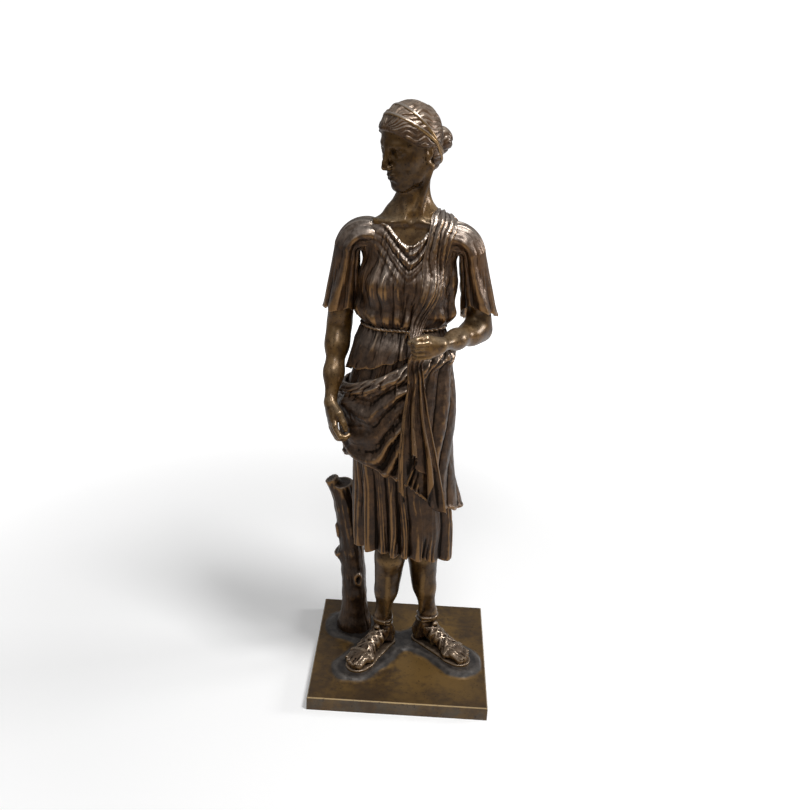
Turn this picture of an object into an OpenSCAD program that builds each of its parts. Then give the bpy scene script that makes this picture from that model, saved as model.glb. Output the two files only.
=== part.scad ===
// Bronze statuette of a standing draped woman on a square plinth.
// Front is -Y, the figure's left is +X. The origin is the centre of the plinth's underside.

/* [Plinth] */
// Width and depth of the square plinth
plinth_w = 130; // [126:1:150]
// Thickness of the plinth plate
plinth_t = 10.5; // [10:0.5:14]
// Bevel round the upper edge
plinth_bevel = 0.8; // [0.4:0.1:1.6]
// Height of the modelled ground round the feet
ground_h = 1.4; // [1:0.1:2]

/* [Figure, heights] */
// Height of the ankle above the plinth
ankle_h = 21; // [19:1:23]
// Height of the knee above the plinth
knee_h = 116; // [112:1:120]
// Height of the dress's hem above the plinth
hem_h = 92; // [86:1:98]
// Height of the hips above the plinth
hip_h = 208; // [204:1:212]
// Length from the hips up to the belt
waist_l = 54; // [51:1:57]
// Length from the belt up to the bust
ribs_l = 29; // [27:1:32]
// Length from the bust up to the shoulder joints
chest_l = 31; // [29:1:34]
// Rise from the shoulder joints to the pit of the neck
collar_rise = 16; // [14:1:18]
// Rise from the pit of the neck to the chin
neck_l = 18; // [16:1:21]
// Length of the head from chin to crown
head_l = 54; // [51:1:57]

/* [Figure, widths] */
// Width of the dress at the hem
hem_w = 68; // [64:1:74]
// Width of the dress at the hips
hip_w = 73; // [69:1:76]
// Width at the belt
belt_w = 55; // [52:1:58]
// Width at the bust
bust_w = 64; // [61:1:67]
// Width of the neck
neck_w = 21.5; // [20:0.5:23]
// Width of the head across the hair
head_w = 40; // [38:1:43]
// Depth of the head from brow to nape
head_d = 44; // [42:1:47]
// Length of each foot
foot_l = 54; // [50:1:58]

/* [Drapery] */
// Folds round the dress
skirt_folds = 17; // [15:1:20]
// Depth of the folds at the hem
fold_depth = 5.6; // [4:0.2:6]
// Mean height of the mantle's slanted lower edge
mantle_hem_h = 146; // [140:1:150]
// Thickness of the mantle's casting
mantle_t = 2.6; // [2:0.2:3.2]
// Length of the fall of cloth below the left hand
fall_l = 112; // [100:1:120]

/* [Tree stump] */
// Height of the stump
stump_h = 128; // [118:1:134]
// Radius of the stump at half its height
stump_r = 9.5; // [8.5:0.5:11]

/* [Castings and fixings] */
// Wall of the hollow castings
wall = 3; // [2.4:0.2:3.6]
// Gap left in every fitted joint
fit_gap = 0.15; // [0.1:0.05:0.25]
// Diameter of the locking pins
pin_d = 2; // [1.6:0.2:2.4]
// Diameter of the spigots at neck, shoulders and legs
spigot_d = 10; // [9:0.5:11]
// Length of the spigots
spigot_l = 8; // [7:0.5:9]
// Thread diameter of the studs under the plinth
stud_d = 5; // [4:0.5:6]
// Depth of the pockets for the nuts under the plinth
pocket_depth = 6; // [5.6:0.2:6.4]

/* [Hidden] */

bronze = [0.33, 0.24, 0.15];
worn_bronze = [0.45, 0.32, 0.16];
fixing_brass = [0.62, 0.50, 0.26];

// ---- heights in the part's own frame
top_z = plinth_t;
ground_z = top_z + ground_h;
ankle_z = top_z + ankle_h;
knee_z = top_z + knee_h;
hem_z = top_z + hem_h;
hip_z = top_z + hip_h;
belt_z = hip_z + waist_l;
bust_z = belt_z + ribs_l;
shoulder_z = bust_z + chest_l;
neck_z = shoulder_z + collar_rise;
chin_z = neck_z + neck_l;
skirt_top_z = belt_z - 8;

// ---- where the figure stands, seen from above
foot_turn_r = 32;
foot_turn_l = -50;
right_ankle = [-15, 2];
left_ankle = [20, 10];
stump_at = [-4 - hem_w / 2, 27];
shoulder_half = bust_w / 2 - 1;

// ---- small functions
function mix(a, b, t) = a + (b - a) * t;
function clamp01(t) = min(max(t, 0), 1);
function ease(a, b, x) = let (t = clamp01((x - a) / (b - a))) t * t * (3 - 2 * t);
function bump(x, w) = exp(-x * x / (w * w));
function unit(v) = v / norm(v);
function wrap(a) = a - 360 * floor((a + 180) / 360);

// Smooth curve through [position, value] stations
function span_of(s, x, i = 0) = i >= len(s) - 2 || x < s[i + 1][0] ? i : span_of(s, x, i + 1);
function flow(s, x) =
    let (i = span_of(s, x), a = s[max(i - 1, 0)], b = s[i], c = s[i + 1],
         d = s[min(i + 2, len(s) - 1)], w = c[0] - b[0], t = clamp01((x - b[0]) / w),
         mb = (c[1] - a[1]) * (w / (c[0] - a[0])), mc = (d[1] - b[1]) * (w / (d[0] - b[0])))
    b[1] * (2 * t * t * t - 3 * t * t + 1) + mb * (t * t * t - 2 * t * t + t)
    + c[1] * (3 * t * t - 2 * t * t * t) + mc * (t * t * t - t * t);

// Points [x, y, z] from a direction round the body: 0 is the front and 90 the figure's left
function around(c, a, r, z) = [c[0] + r * sin(a), c[1] - r * cos(a), z];
function ellipse_r(a, rx, ry) = 1 / sqrt(pow(sin(a) / rx, 2) + pow(cos(a) / ry, 2));

// One rounded fold per unit of u, with a valley between it and the next
function fold(u) = let (f = u - floor(u)) 4 * f * (1 - f);
function fold_size(u) = 0.72 + 0.28 * sin(137.5 * floor(u));

// A solid through rings that have the same number of points. A band's last ring joins its first.
module loft(rings, band = false) {
    n = len(rings[0]);
    m = len(rings);
    points = [for (r = rings) each r];
    sides = [for (i = [0:m - (band ? 1 : 2)], j = [0:n - 1])
        let (k = (j + 1) % n, a = i * n + j, b = i * n + k, c = (i + 1) % m * n + k,
            d = (i + 1) % m * n + j)
        each [[a, d, c], [a, c, b]]];
    first_cap = [for (j = [0:n - 1]) [m * n, j, (j + 1) % n]];
    last_cap = [for (j = [0:n - 1]) [m * n + 1, (m - 1) * n + (j + 1) % n, (m - 1) * n + j]];
    polyhedron(band ? points : concat(points, [centre_of(rings[0]), centre_of(rings[m - 1])]),
               band ? sides : concat(sides, first_cap, last_cap));
}

// A sheet of metal between two grids of points, each a list of rows
module sheet(front, back) {
    m = len(front);
    n = len(front[0]);
    rings = [for (i = [0:m - 1]) concat(front[i], [for (j = [n - 1:-1:0]) back[i][j]])];
    sides = [for (i = [0:m - 2], j = [0:2 * n - 1])
        let (k = (j + 1) % (2 * n), a = i * 2 * n + j, b = i * 2 * n + k, c = b + 2 * n, d = a + 2 * n)
        each [[a, d, c], [a, c, b]]];
    ends = [for (j = [0:n - 2]) let (p = j, q = j + 1, r = 2 * n - 2 - j, t = 2 * n - 1 - j,
        o = (m - 1) * 2 * n)
        each [[p, q, r], [p, r, t], [o + p, o + r, o + q], [o + p, o + t, o + r]]];
    polyhedron([for (r = rings) each r], concat(sides, ends));
}
function centre_of(r) = [for (k = [0:2]) [for (p = r) p[k]] * [for (p = r) 1]] / len(r);

// A limb: oval rings square to a path of [point, [half width, half depth]] stations
function limb_rings(path, facing, n, count) = [for (i = [0:count])
    let (t = i / count * (len(path) - 1), s = [for (k = [0:len(path) - 1]) [k, path[k][0]]],
         q = [for (k = [0:len(path) - 1]) [k, path[k][1]]], p = flow(s, t), r = flow(q, t),
         ahead = unit(flow(s, t + 0.02) - flow(s, t - 0.02)),
         u = unit(cross(facing, ahead)), w = cross(ahead, u))
    [for (j = [0:n - 1]) p + u * r[0] * cos(360 * j / n) + w * r[1] * sin(360 * j / n)]];

// A tube with a radius at each point and rounded ends, such as a finger or a strap
module tube(points, radii, facing, n = 7) {
    m = len(points) - 1;
    ends = [unit(points[0] - points[1]) * radii[0], unit(points[m] - points[m - 1]) * radii[m]];
    path = concat([points[0] + ends[0] * 0.8], points, [points[m] + ends[1] * 0.8]);
    size = concat([radii[0] * 0.5], radii, [radii[m] * 0.5]);
    loft([for (i = [0:m + 2]) let (ahead = unit(path[min(i + 1, m + 2)] - path[max(i - 1, 0)]),
            u = unit(cross(facing, ahead)), w = cross(ahead, u))
        [for (j = [0:n - 1]) path[i] + size[i] * (u * cos(360 * j / n) + w * sin(360 * j / n))]]);
}

// ---- the clothed body: [height, [centre x, centre y, half width, half depth]]
body_stations = [
    [hem_z - 12, [-3, 3, hem_w / 2, 25]],
    [knee_z + 4, [-5, 2, hem_w / 2 + 1, 25]],
    [mix(knee_z, hip_z, 0.5), [-9, 2, hip_w / 2 - 3, 25]],
    [hip_z, [-13, 4, hip_w / 2, 28]],
    [mix(hip_z, belt_z, 0.55), [-12, 4, hip_w / 2 - 6, 24]],
    [belt_z, [-11, 4, belt_w / 2, 18.5]],
    [bust_z, [-10, 4, bust_w / 2, 21]],
    [bust_z + 16, [-9.5, 4, bust_w / 2 - 2, 19]],
    [shoulder_z, [-9, 4, shoulder_half + 4, 16]],
    [mix(shoulder_z, neck_z, 0.56), [-9, 4, shoulder_half - 3, 13.5]],
    [neck_z - 1, [-9, 4, neck_w / 2 + 5, 12]],
    [neck_z + 8, [-9, 3, neck_w / 2, neck_w / 2]]];
function centre_at(z) = let (s = flow(body_stations, z)) [s[0], s[1]];

// The free leg presses its thigh and knee through the cloth, and the breasts theirs
function thigh(a, z) = 5.5 * bump(wrap(a - mix(38, 22, ease(knee_z, hip_z, z))), 22)
    * ease(hem_z, knee_z, z) * (1 - ease(hip_z - 34, hip_z + 6, z));
function breasts(a, z) = 6 * (bump(wrap(a - 33), 20) + bump(wrap(a + 33), 20)) * bump(z - bust_z, 13);
function body_r(a, z) = let (s = flow(body_stations, z))
    ellipse_r(a, s[2], s[3]) + thigh(a, z) + breasts(a, z);

// ---- plinth
stud_spots = [for (s = [[right_ankle, foot_turn_r], [left_ankle, foot_turn_l]])
    s[0] + foot_l * 0.12 * [-sin(s[1]), -cos(s[1])]];
washer_r = stud_d * 1.15;
washer_t = 1.2;
nut_h = stud_d * 0.62;
pocket_r = washer_r + 1;
hole_r = stud_d / 2 + fit_gap;

module plinth() color(bronze)
    difference() {
        union() {
            hull() {
                translate([-plinth_w / 2, -plinth_w / 2, 0]) cube([plinth_w, plinth_w,
                    plinth_t - plinth_bevel]);
                translate([plinth_bevel - plinth_w / 2, plinth_bevel - plinth_w / 2, 0])
                    cube([plinth_w - 2 * plinth_bevel, plinth_w - 2 * plinth_bevel, plinth_t]);
            }
            ground(right_ankle, foot_turn_r);
            ground(left_ankle, foot_turn_l);
            translate([stump_at[0], stump_at[1], top_z - 0.5])
                cylinder(r1 = stump_r + 9, r2 = stump_r + 6, h = ground_h + 0.5, $fn = 48);
        }
        for (p = concat(stud_spots, [stump_at])) {
            translate([p[0], p[1], -1]) cylinder(r = hole_r, h = ground_z + 2, $fn = 48);
            translate([p[0], p[1], -1]) cylinder(r = pocket_r, h = pocket_depth + 1, $fn = 48);
        }
    }

// Low mound that a foot stands on
module ground(at, turn)
    translate([at[0], at[1], top_z - 0.5]) rotate(-turn)
        hull() for (end = [[0, foot_l * 0.1, 10], [0, -foot_l * 0.62, 13]])
            translate([end[0], end[1], 0]) cylinder(r1 = end[2] + 3, r2 = end[2], h = ground_h + 0.5,
                $fn = 32);

// ---- tree stump with two lopped branches
module tree_stump() color(bronze)
    difference() {
        union() {
            loft([for (v = [0, 0.04, 0.12, 0.25, 0.4, 0.55, 0.7, 0.85, 0.97, 1])
                let (z = ground_z + stump_h * v,
                    s = 1 + 0.45 * bump(v, 0.1) - 0.12 * v - (v == 1 ? 0.12 : 0))
                [for (j = [0:23]) let (a = 15 * j)
                    around(stump_at + [-13 * v * v, -4 * v], a,
                           stump_r * s * (1 + 0.07 * sin(5 * a + 90 * v) + 0.05 * sin(3 * a - 160 * v)),
                               z)]]);
            stub([-6, -1, 62], [-14, -3, 70], 6.5, 5);
            stub([-10, -4, 112], [-21, -6, 132], 6, 5);
        }
        translate([stump_at[0], stump_at[1], 0]) cylinder(r = hole_r, h = ground_z + 14, $fn = 24);
    }
module stub(from, to, r1, r2)
    loft([for (v = [0, 0.6, 0.94, 1]) let (d = unit(to - from), u = unit(cross([0, 1, 0], d)),
        w = cross(d, u),
            r = mix(r1, r2, v) * (v == 1 ? 0.8 : 1))
        [for (j = [0:11]) [stump_at[0], stump_at[1], ground_z] + mix(from, to, v)
            + r * (u * cos(30 * j) + w * sin(30 * j))]]);

// ---- legs with sandalled feet
function leg_socket(at) = mix(centre_at(hem_z), at, 0.31 + hem_w / 220);
socket_z = hem_z + 14;

module leg(ankle, turn, lean) {
    hip = leg_socket(ankle);
    foot = [ankle[0], ankle[1], ground_z];
    difference() {
        union() {
            loft(limb_rings([
                [[ankle[0], ankle[1] + 1, ground_z + 6], [6.6, 7.5]],
                [[ankle[0], ankle[1], ankle_z], [6.6, 8]],
                [mix([ankle[0], ankle[1], ankle_z], [hip[0], hip[1], socket_z], 0.4) + lean, [8.8, 9.6]],
                [mix([ankle[0], ankle[1], ankle_z], [hip[0], hip[1], socket_z], 0.75) + lean * 1.6,
                    [11.4, 11.8]],
                [[hip[0], hip[1], socket_z - 3], [10.2, 10.6]]], [0, -1, 0], 18, 10));
            translate([hip[0], hip[1], socket_z - 6]) cylinder(r = 9, h = 6 - fit_gap, $fn = 48);
            translate([hip[0], hip[1], socket_z - 1]) cylinder(d = spigot_d, h = spigot_l + 1, $fn = 32);
            translate(foot) rotate(-turn) foot_shape(sign(turn));
        }
        translate([hip[0], hip[1], socket_z + spigot_l / 2]) rotate([0, 90, 0])
            cylinder(d = pin_d, h = spigot_d + 2, center = true, $fn = 16);
        p = ankle + foot_l * 0.12 * [-sin(turn), -cos(turn)];
        translate([p[0], p[1], 0]) cylinder(r = hole_r, h = ground_z + 9, $fn = 24);
    }
}

// Foot in a sandal: the toes point to -Y, and side is +1 for the right foot
sole_t = 2.4;
module foot_shape(side) {
    heel_y = foot_l * 0.24;
    ball_y = -foot_l * 0.52;
    tip_y = -foot_l * 0.76;
    hull() for (s = [[0, heel_y - 7, 7], [0, ball_y, 10.2], [side * 1.5, tip_y + 7, 8]])
        translate([s[0], s[1], 0]) cylinder(r = s[2], h = sole_t, $fn = 24);
    // along the foot: [y, [half width, height, sideways shift]]
    rows = [[heel_y, [2.5, 4, 0]], [heel_y - 2, [5, 9, 0]], [heel_y - 6, [6.2, ankle_h - 8, 0]],
            [0, [6.6, ankle_h - 3, 0]], [ball_y * 0.4, [6.8, ankle_h - 8, 0.4]],
            [ball_y * 0.72, [8, 8.6, 0.8]], [ball_y, [9.2, 6, 1]], [ball_y - 4, [7, 3.4, 1]]];
    loft([for (k = rows) [for (j = [0:15]) let (a = 22.5 * j, up = sin(a))
        [side * k[1][2] + k[1][0] * cos(a), k[0],
            sole_t - 0.6 + k[1][1] * (up > 0 ? up : 0) + 0.5 * min(up, 0)]]]);
    // toes: [sideways, back from the big toe, radius]
    for (t = [[6, 0, 3], [1.8, -0.4, 2.2], [-1.9, 1, 2.1], [-5.1, 3, 2], [-8, 5.6, 1.9]])
        tube([[side * t[0] * 0.8, ball_y + 4, sole_t + t[2]],
            [side * t[0], ball_y - 3 + t[1], sole_t + t[2] + 0.5],
              [side * t[0], tip_y + t[2] + t[1], sole_t + t[2] * 0.75]], [t[2], t[2], t[2] * 0.95],
                  [1, 0, 0.2], 7);
    for (y = [ball_y + 8, ball_y + 17]) let (rise = (y - ball_y) * 0.3)
        tube([[-10, y, sole_t - 0.8], [-8.2, y, sole_t + 4.4], [0, y, sole_t + 7.2 + rise],
              [8.2, y, sole_t + 4.4], [10, y, sole_t - 0.8]], [1, 1, 1.2, 1, 1], [0, 1, 0], 6);
}
module right_leg() color(worn_bronze) leg(right_ankle, foot_turn_r, [0, -3, 0]);
module left_leg() color(worn_bronze) leg(left_ankle, foot_turn_l, [-1, -1, 0]);

// ---- skirt: a hollow casting with a pleated hem and a floor that holds the legs
function skirt_hem(a) = hem_z + 5 * cos(a + 40) - 3 * bump(wrap(a - 70), 30);
function pleat_turn(a, z) = skirt_folds * (a + 5 * sin(2 * a + 70) + 3 * sin(3 * a - 30)
    + 5 * sin(a + 1.1 * (z - hem_z)) * ease(hem_z, belt_z, z)) / 360;
function skirt_r(a, z) = let (u = pleat_turn(a, z))
    body_r(a, z) - 1.5 + mix(fold_depth, 1, ease(hem_z, hip_z - 20, z)) * fold(u) * fold_size(u)
    * (1 - 0.75 * thigh(a, z) / 5.5);
skirt_n = 85;
function skirt_ring(v, inset = 0) = [for (j = [0:skirt_n - 1])
    let (a = 360 * j / skirt_n, z = mix(skirt_hem(a), skirt_top_z, v))
    around(centre_at(z), a, skirt_r(a, z) - inset, z)];
function plain_ring(z, r, n) = [for (j = [0:n - 1]) around(centre_at(z), 360 * j / n,
    ellipse_r(360 * j / n, flow(body_stations, z)[2] - r, flow(body_stations, z)[3] - r), z)];
floor_z = socket_z;
floor_t = spigot_l;

module skirt() color(bronze)
    difference() {
        loft(concat(
            [plain_ring(floor_z, wall + 1.5, skirt_n), skirt_ring(0.02, 2)],
            [for (v = [0, 0.05, 0.13, 0.22, 0.33, 0.46, 0.62, 0.74, 0.87, 1]) skirt_ring(v)],
            [plain_ring(skirt_top_z, wall + 2, skirt_n),
                plain_ring(skirt_top_z - collar_l - 1, wall + 2, skirt_n),
             plain_ring(mix(floor_z, belt_z, 0.5), wall + 4, skirt_n),
             plain_ring(floor_z + floor_t, wall + 5, skirt_n)]));
        for (ankle = [right_ankle, left_ankle]) let (s = leg_socket(ankle)) {
            translate([s[0], s[1], floor_z - 1]) cylinder(d = spigot_d + 2 * fit_gap, h = floor_t + 2,
                $fn = 48);
            translate([s[0], s[1], floor_z + spigot_l / 2]) rotate([0, 90, 0])
                cylinder(d = pin_d, h = spigot_d + 8, center = true, $fn = 24);
        }
        waist_pin_holes(pin_d, 6);
        mantle_rivet_holes(pin_d);
    }

// ---- mantle: wrapped round the hips, rolled along its upper edge
hand_turn = 34;
function mantle_top(a) = mix(hip_z, belt_z, 0.48) + 0.3 * waist_l * cos(a - 75);
function mantle_hem(a) = top_z + mantle_hem_h + 22 * cos(a + 62) + 4 * bump(wrap(a - 10), 20);
mantle_gap = 0.8;
function lining_r(a, z) = body_r(a, z) + mantle_gap + (fold_depth - 1.5) * (1 - ease(hem_z, hip_z - 20, z));
function swag(a, z) = let (t = clamp01((wrap(a) + 100) / (100 + hand_turn)),
                           drop = mix(mantle_top(-100), mantle_top(hand_turn), t) - z)
    drop / (3.6 + 34 * t * (1 - t));
function mantle_folds(a, z) =
    let (w = ease(-112, -85, wrap(a)) * (1 - ease(hand_turn, hand_turn + 22, wrap(a))),
                                   u = swag(a, z), v = (a + 9 * sin(2 * a) + 0.35 * (hip_z - z)) / 21)
    mix(2.4 * fold(v) * fold_size(v), 3 * fold(u) * fold_size(u), w);
function mantle_r(a, z) = lining_r(a, z) + mantle_t
    + mantle_folds(a, z) * ease(mantle_top(a), mantle_top(a) - 14, z)
    + (4.2 - 2.6 * bump(wrap(a + 78), 26)) * bump(z - (mantle_top(a) - 5.5), 6)
    + 4 * bump(wrap(a + 58), 8) * ease(mantle_top(-60) - 18, mantle_top(-60) - 30,
        z) * ease(mantle_hem(a) - 10, mantle_hem(a) + 40, z);
mantle_n = 64;
function mantle_ring(v, outer) = [for (j = [0:mantle_n - 1])
    let (a = 360 * j / mantle_n, z = mix(mantle_hem(a), mantle_top(a), v))
    around(centre_at(z), a, outer ? mantle_r(a, z) : lining_r(a, z), z)];

module mantle() color(bronze)
    difference() {
        loft(concat([for (v = [0, 0.1, 0.22, 0.34, 0.46, 0.58, 0.69, 0.79, 0.87, 0.94,
            1]) mantle_ring(v, true)],
                    [for (v = [0.99, 0.7, 0.35, 0.01]) mantle_ring(v, false)]), band = true);
        mantle_rivet_holes(pin_d);
    }
rivet_turns = [-25, 60, 180];
module mantle_rivet_holes(d, short = 0)
    for (a = rivet_turns) let (z = mantle_top(a) - 8)
        radial(a, z, body_r(a, z) - wall - 4 + short, mantle_r(a, z) + 3 - short * 3.2, d);

// A round bar that runs outwards from the body's axis
module radial(a, z, from, to, d)
    translate(concat(centre_at(z), [z])) rotate([0, 0, a - 90]) rotate([0, 90, 0])
        translate([0, 0, from]) cylinder(d = d, h = to - from, $fn = 24);

// ---- bodice: the blouse above the belt, open at the neck and at the waist
function neckline(a) = neck_z - 2 - 17 * bump(wrap(a), 46) - 8 * bump(wrap(a - 180), 50);
function neck_lap(a) = mix(2.5, 7, pow(cos(a), 2));
function bodice_hem(a) = mantle_top(a) + 2.5 + 5 * (1 - cos(a - 75));
bodice_folds = 20;
function bodice_r(a, z) = let (u = bodice_folds * (a + 7 * sin(2 * a) + 3 * sin(3 * a + 40)) / 360)
    body_r(a, z) + 0.6 + 1.5 * fold(u) * fold_size(u) * (1 - ease(bust_z, neck_z, z))
    + 0.7 * fold(u) * ease(bust_z, shoulder_z, z)
    + 3.6 * bump(z - (belt_z + 9), 6.5) - 1.2 * bump(z - belt_z, 3.5) + 2.6 * ease(belt_z - 2,
        belt_z - 12, z);
bodice_n = 64;
function bodice_ring(v, inset = 0) = [for (j = [0:bodice_n - 1])
    let (a = 360 * j / bodice_n, z = mix(bodice_hem(a), neckline(a), v))
    around(centre_at(z), a, bodice_r(a, z) - inset, z)];
function round_ring(z, r, n) = [for (j = [0:n - 1]) around(centre_at(seat_z), 360 * j / n, r, z)];
cloth_t = 1.1;
seat_z = shoulder_z - 6;
function skin_r(a, z) = body_r(a, z) + 0.6 - cloth_t - fit_gap;
collar_l = 6;

module bodice() color(bronze)
    union() {
        difference() {
            loft(concat(
                [for (v = [0, 0.1, 0.17, 0.24, 0.3, 0.38, 0.48, 0.6, 0.72, 0.84, 0.93, 1]) bodice_ring(v)],
                [[for (j = [0:bodice_n - 1]) let (a = 360 * j / bodice_n, z = neckline(a) + 0.2)
                    around(centre_at(z), a, skin_r(a, z) + fit_gap, z)],
                 [for (j = [0:bodice_n - 1]) let (a = 360 * j / bodice_n, z = neckline(a) - neck_lap(a))
                    around(centre_at(z), a, skin_r(a, z) + fit_gap, z)],
                 round_ring(seat_z - fit_gap, spigot_d / 2 + fit_gap, bodice_n),
                 round_ring(seat_z - spigot_l - wall, spigot_d / 2 + fit_gap, bodice_n),
                 plain_ring(seat_z - spigot_l - wall - 1, wall + 6, bodice_n),
                 plain_ring(belt_z + 4, wall + 1, bodice_n),
                 plain_ring(skirt_top_z - collar_l, 2 * wall + 2.4, bodice_n),
                 plain_ring(skirt_top_z - collar_l, wall + 2 + 2 * fit_gap, bodice_n),
                 plain_ring(skirt_top_z + fit_gap, wall + 2 + 2 * fit_gap, bodice_n),
                 [for (j = [0:bodice_n - 1]) let (a = 360 * j / bodice_n, z = skirt_top_z + fit_gap)
                    around(centre_at(z), a, body_r(a, z) + 0.4, z)],
                 [for (j = [0:bodice_n - 1]) let (a = 360 * j / bodice_n, z = bodice_hem(a) + 0.1)
                    around(centre_at(z), a, body_r(a, z) + 0.4, z)]]), band = true);
            for (side = [-1, 1]) arm_seat(side);
            waist_pin_holes(pin_d);
            neck_pin_hole(pin_d);
        }
        belt_knot();
    }
belt_at = around(centre_at(belt_z), 12, bodice_r(12, belt_z) + 0.4, belt_z);
module belt_knot()
    translate(belt_at) {
        tube([[-5.4, 0, 1.2], [-3, -1.4, 2.4], [0, -0.6, 0], [3, -1.4, 2.4], [5.4, 0, 1.2]],
            [1, 1, 1.1, 1, 1], [0, 1, 0], 6);
        for (s = [-1, 1]) tube([[0, 0, 0], [s * 1.4, -1.2, -2.6], [s * 2.2, -1, -6]], [1, 0.9, 0.8],
            [1, 0, 0], 6);
    }
module waist_pin_holes(d, from = 6)
    for (a = [-90, 30, 150]) radial(a, skirt_top_z - collar_l / 2, from, body_r(a, skirt_top_z) - 0.8, d);
module neck_pin_hole(d, short = 0)
    radial(180, seat_z - spigot_l / 2, -spigot_d / 2 - 1 + short, body_r(180, seat_z) + 2 - 3.5 * short, d);

// ---- arms, each cast with its sleeve
// How far out an elbow is held so that the sleeve and the forearm clear the cloth beside them
arm_gap = 0.5;
function cloth_r(a, z) = z < mantle_top(a) + 1 ? mantle_r(a, z) : bodice_r(a, z);
function held_out(side, elbow, wrist, last) = max([0, for (t = [0.2:0.1:1.9])
    let (p = t < 1 ? mix(arm_hang(side), elbow, t) : mix(elbow, wrist, t - 1), c = centre_at(p[2]),
         a = atan2(p[0] - c[0], c[1] - p[1]),
             limb = t < 0.7 ? 8.4 + 6.2 * t * t : mix(8, 5.8, ease(1, 2, t)))
    (cloth_r(a, p[2]) + limb + arm_gap - norm([p[0], p[1]] - c)) / (t < 1 ? t : mix(1, last, t - 1))]);
arm_root_r = 11.5;
arm_root_x = shoulder_half - 1.5;
function arm_root(side) =
    [centre_at(shoulder_z)[0] + side * arm_root_x, centre_at(shoulder_z)[1], shoulder_z];
out_turn = 74;
function armpit(side) = arm_root(side) + [side * fit_gap, 0, -arm_root_r - 1];
function arm_hang(side) = armpit(side) + (arm_root_r + 1) * [side * sin(out_turn), 0, cos(out_turn)];
arm_pin_x = arm_root_x - spigot_l * 0.4;
arm_pin_top = mix(mix(shoulder_z, neck_z, 0.56), neck_z - 1,
    (shoulder_half - 3 - arm_pin_x) / (shoulder_half - 8 - neck_w / 2));
module arm_pin(side, d, top) let (x = centre_at(shoulder_z)[0] + side * arm_pin_x,
    low = shoulder_z - spigot_d / 2 - 2)
    translate([x, centre_at(shoulder_z)[1], low]) cylinder(d = d, h = top - low, $fn = 24);
module arm_seat(side) {
    translate(arm_root(side)) rotate([0, side * 90, 0]) {
        cylinder(r = arm_root_r + fit_gap, h = 30, $fn = 48);
        translate([0, 0, -spigot_l - fit_gap]) cylinder(d = spigot_d + 2 * fit_gap, h = spigot_l + 1,
            $fn = 48);
    }
    arm_pin(side, pin_d, shoulder_z + 30);
}
module arm_spigot(side)
    translate(arm_root(side)) rotate([0, side * 90, 0]) translate([0, 0, -spigot_l])
        cylinder(d = spigot_d, h = spigot_l + 1, $fn = 24);

// Upper arm, forearm and back of the hand, and the pleated sleeve that turns down round the armpit
module arm(side, elbow, wrist, grip, facing) {
    shoulder = arm_hang(side);
    loft(limb_rings([
        [mix(shoulder, elbow, 0.3), [8, 8]], [mix(shoulder, elbow, 0.6), [8.6, 9]],
        [mix(shoulder, elbow, 0.9), [7.8, 8.2]], [elbow, [7.8, 8]], [mix(elbow, wrist, 0.28), [8.4, 8.2]],
        [mix(elbow, wrist, 0.65), [7, 6.8]], [wrist, [5.2, 5.4]], [mix(wrist, grip, 0.5), [6.4, 4.4]],
        [grip, [6.6, 3.6]]], facing, 14, 18));
    turned = [for (k = [0:4]) let (t = out_turn * k / 4)
        [t, armpit(side) + (arm_root_r + 1) * [side * sin(t), 0, cos(t)], 0]];
    hanging = [for (k = [1:4]) [out_turn, mix(shoulder, elbow, 0.2 * k), k / 4]];
    loft([for (k = concat(turned, hanging)) let (turn = k[0], v = k[2], r = arm_root_r - 0.3 + 2.6 * v,
            slim = mix(1, 0.76, turn / out_turn))
        [for (j = [0:27]) let (a = side * 360 * j / 28, q = r + 1.6 * ease(0, 0.5, v) * (fold(j / 4) - 0.5))
            k[1] + [side * slim * q * cos(a) * cos(90 + turn), q * sin(a) * (1 + 0.16 * v),
                    -slim * q * cos(a) * sin(90 + turn)]]]);
}

// Four fingers that curl towards the palm, and a thumb
function palm_side(wrist, grip, palm) =
    let (along = unit(grip - wrist)) unit(palm - along * (palm * along));
module fingers(wrist, grip, palm, side, curl) {
    along = unit(grip - wrist);
    inward = palm_side(wrist, grip, palm);
    across = side * cross(along, inward);
    for (k = [0:3]) let (p = grip + across * (4.4 - 3 * k), r = 2.2 - 0.1 * k)
        tube([p - along * 3, p + along * 4, p + along * mix(9, 7.4, curl) + inward * mix(2, 3.6, curl),
              p + along * mix(11, 5, curl) + inward * mix(6, 8.4, curl)], [r, r, r, r * 0.8], across, 7);
    tube([wrist + along * 5 + across * 3 + inward, wrist + along * 12 + across * 6 + inward * 3.4,
          wrist + along * 18 + across * 5.4 + inward * 6.6], [2.8, 2.6, 2], across + along, 7);
}

// The right arm hangs, and its hand holds a fold of the mantle at the thigh
elbow_drop = shoulder_z - belt_z + 6;
right_reach = [-2.5, -27, -48];
right_free = arm_root(-1) + [-16.5, 9, -elbow_drop];
right_elbow = right_free - [held_out(-1, right_free, right_free + right_reach, 1), 0, 0];
right_wrist = right_elbow + right_reach;
right_grip = right_wrist + [4, -10, -15];
module right_arm() color(worn_bronze)
    difference() {
        union() {
            arm(-1, right_elbow, right_wrist, right_grip, [0, 1, 0.1]);
            arm_spigot(-1);
            fingers(right_wrist, right_grip, [1, 0.4, 0], 1, 0.6);
        }
        arm_pin(-1, pin_d, shoulder_z + 30);
    }

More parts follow.
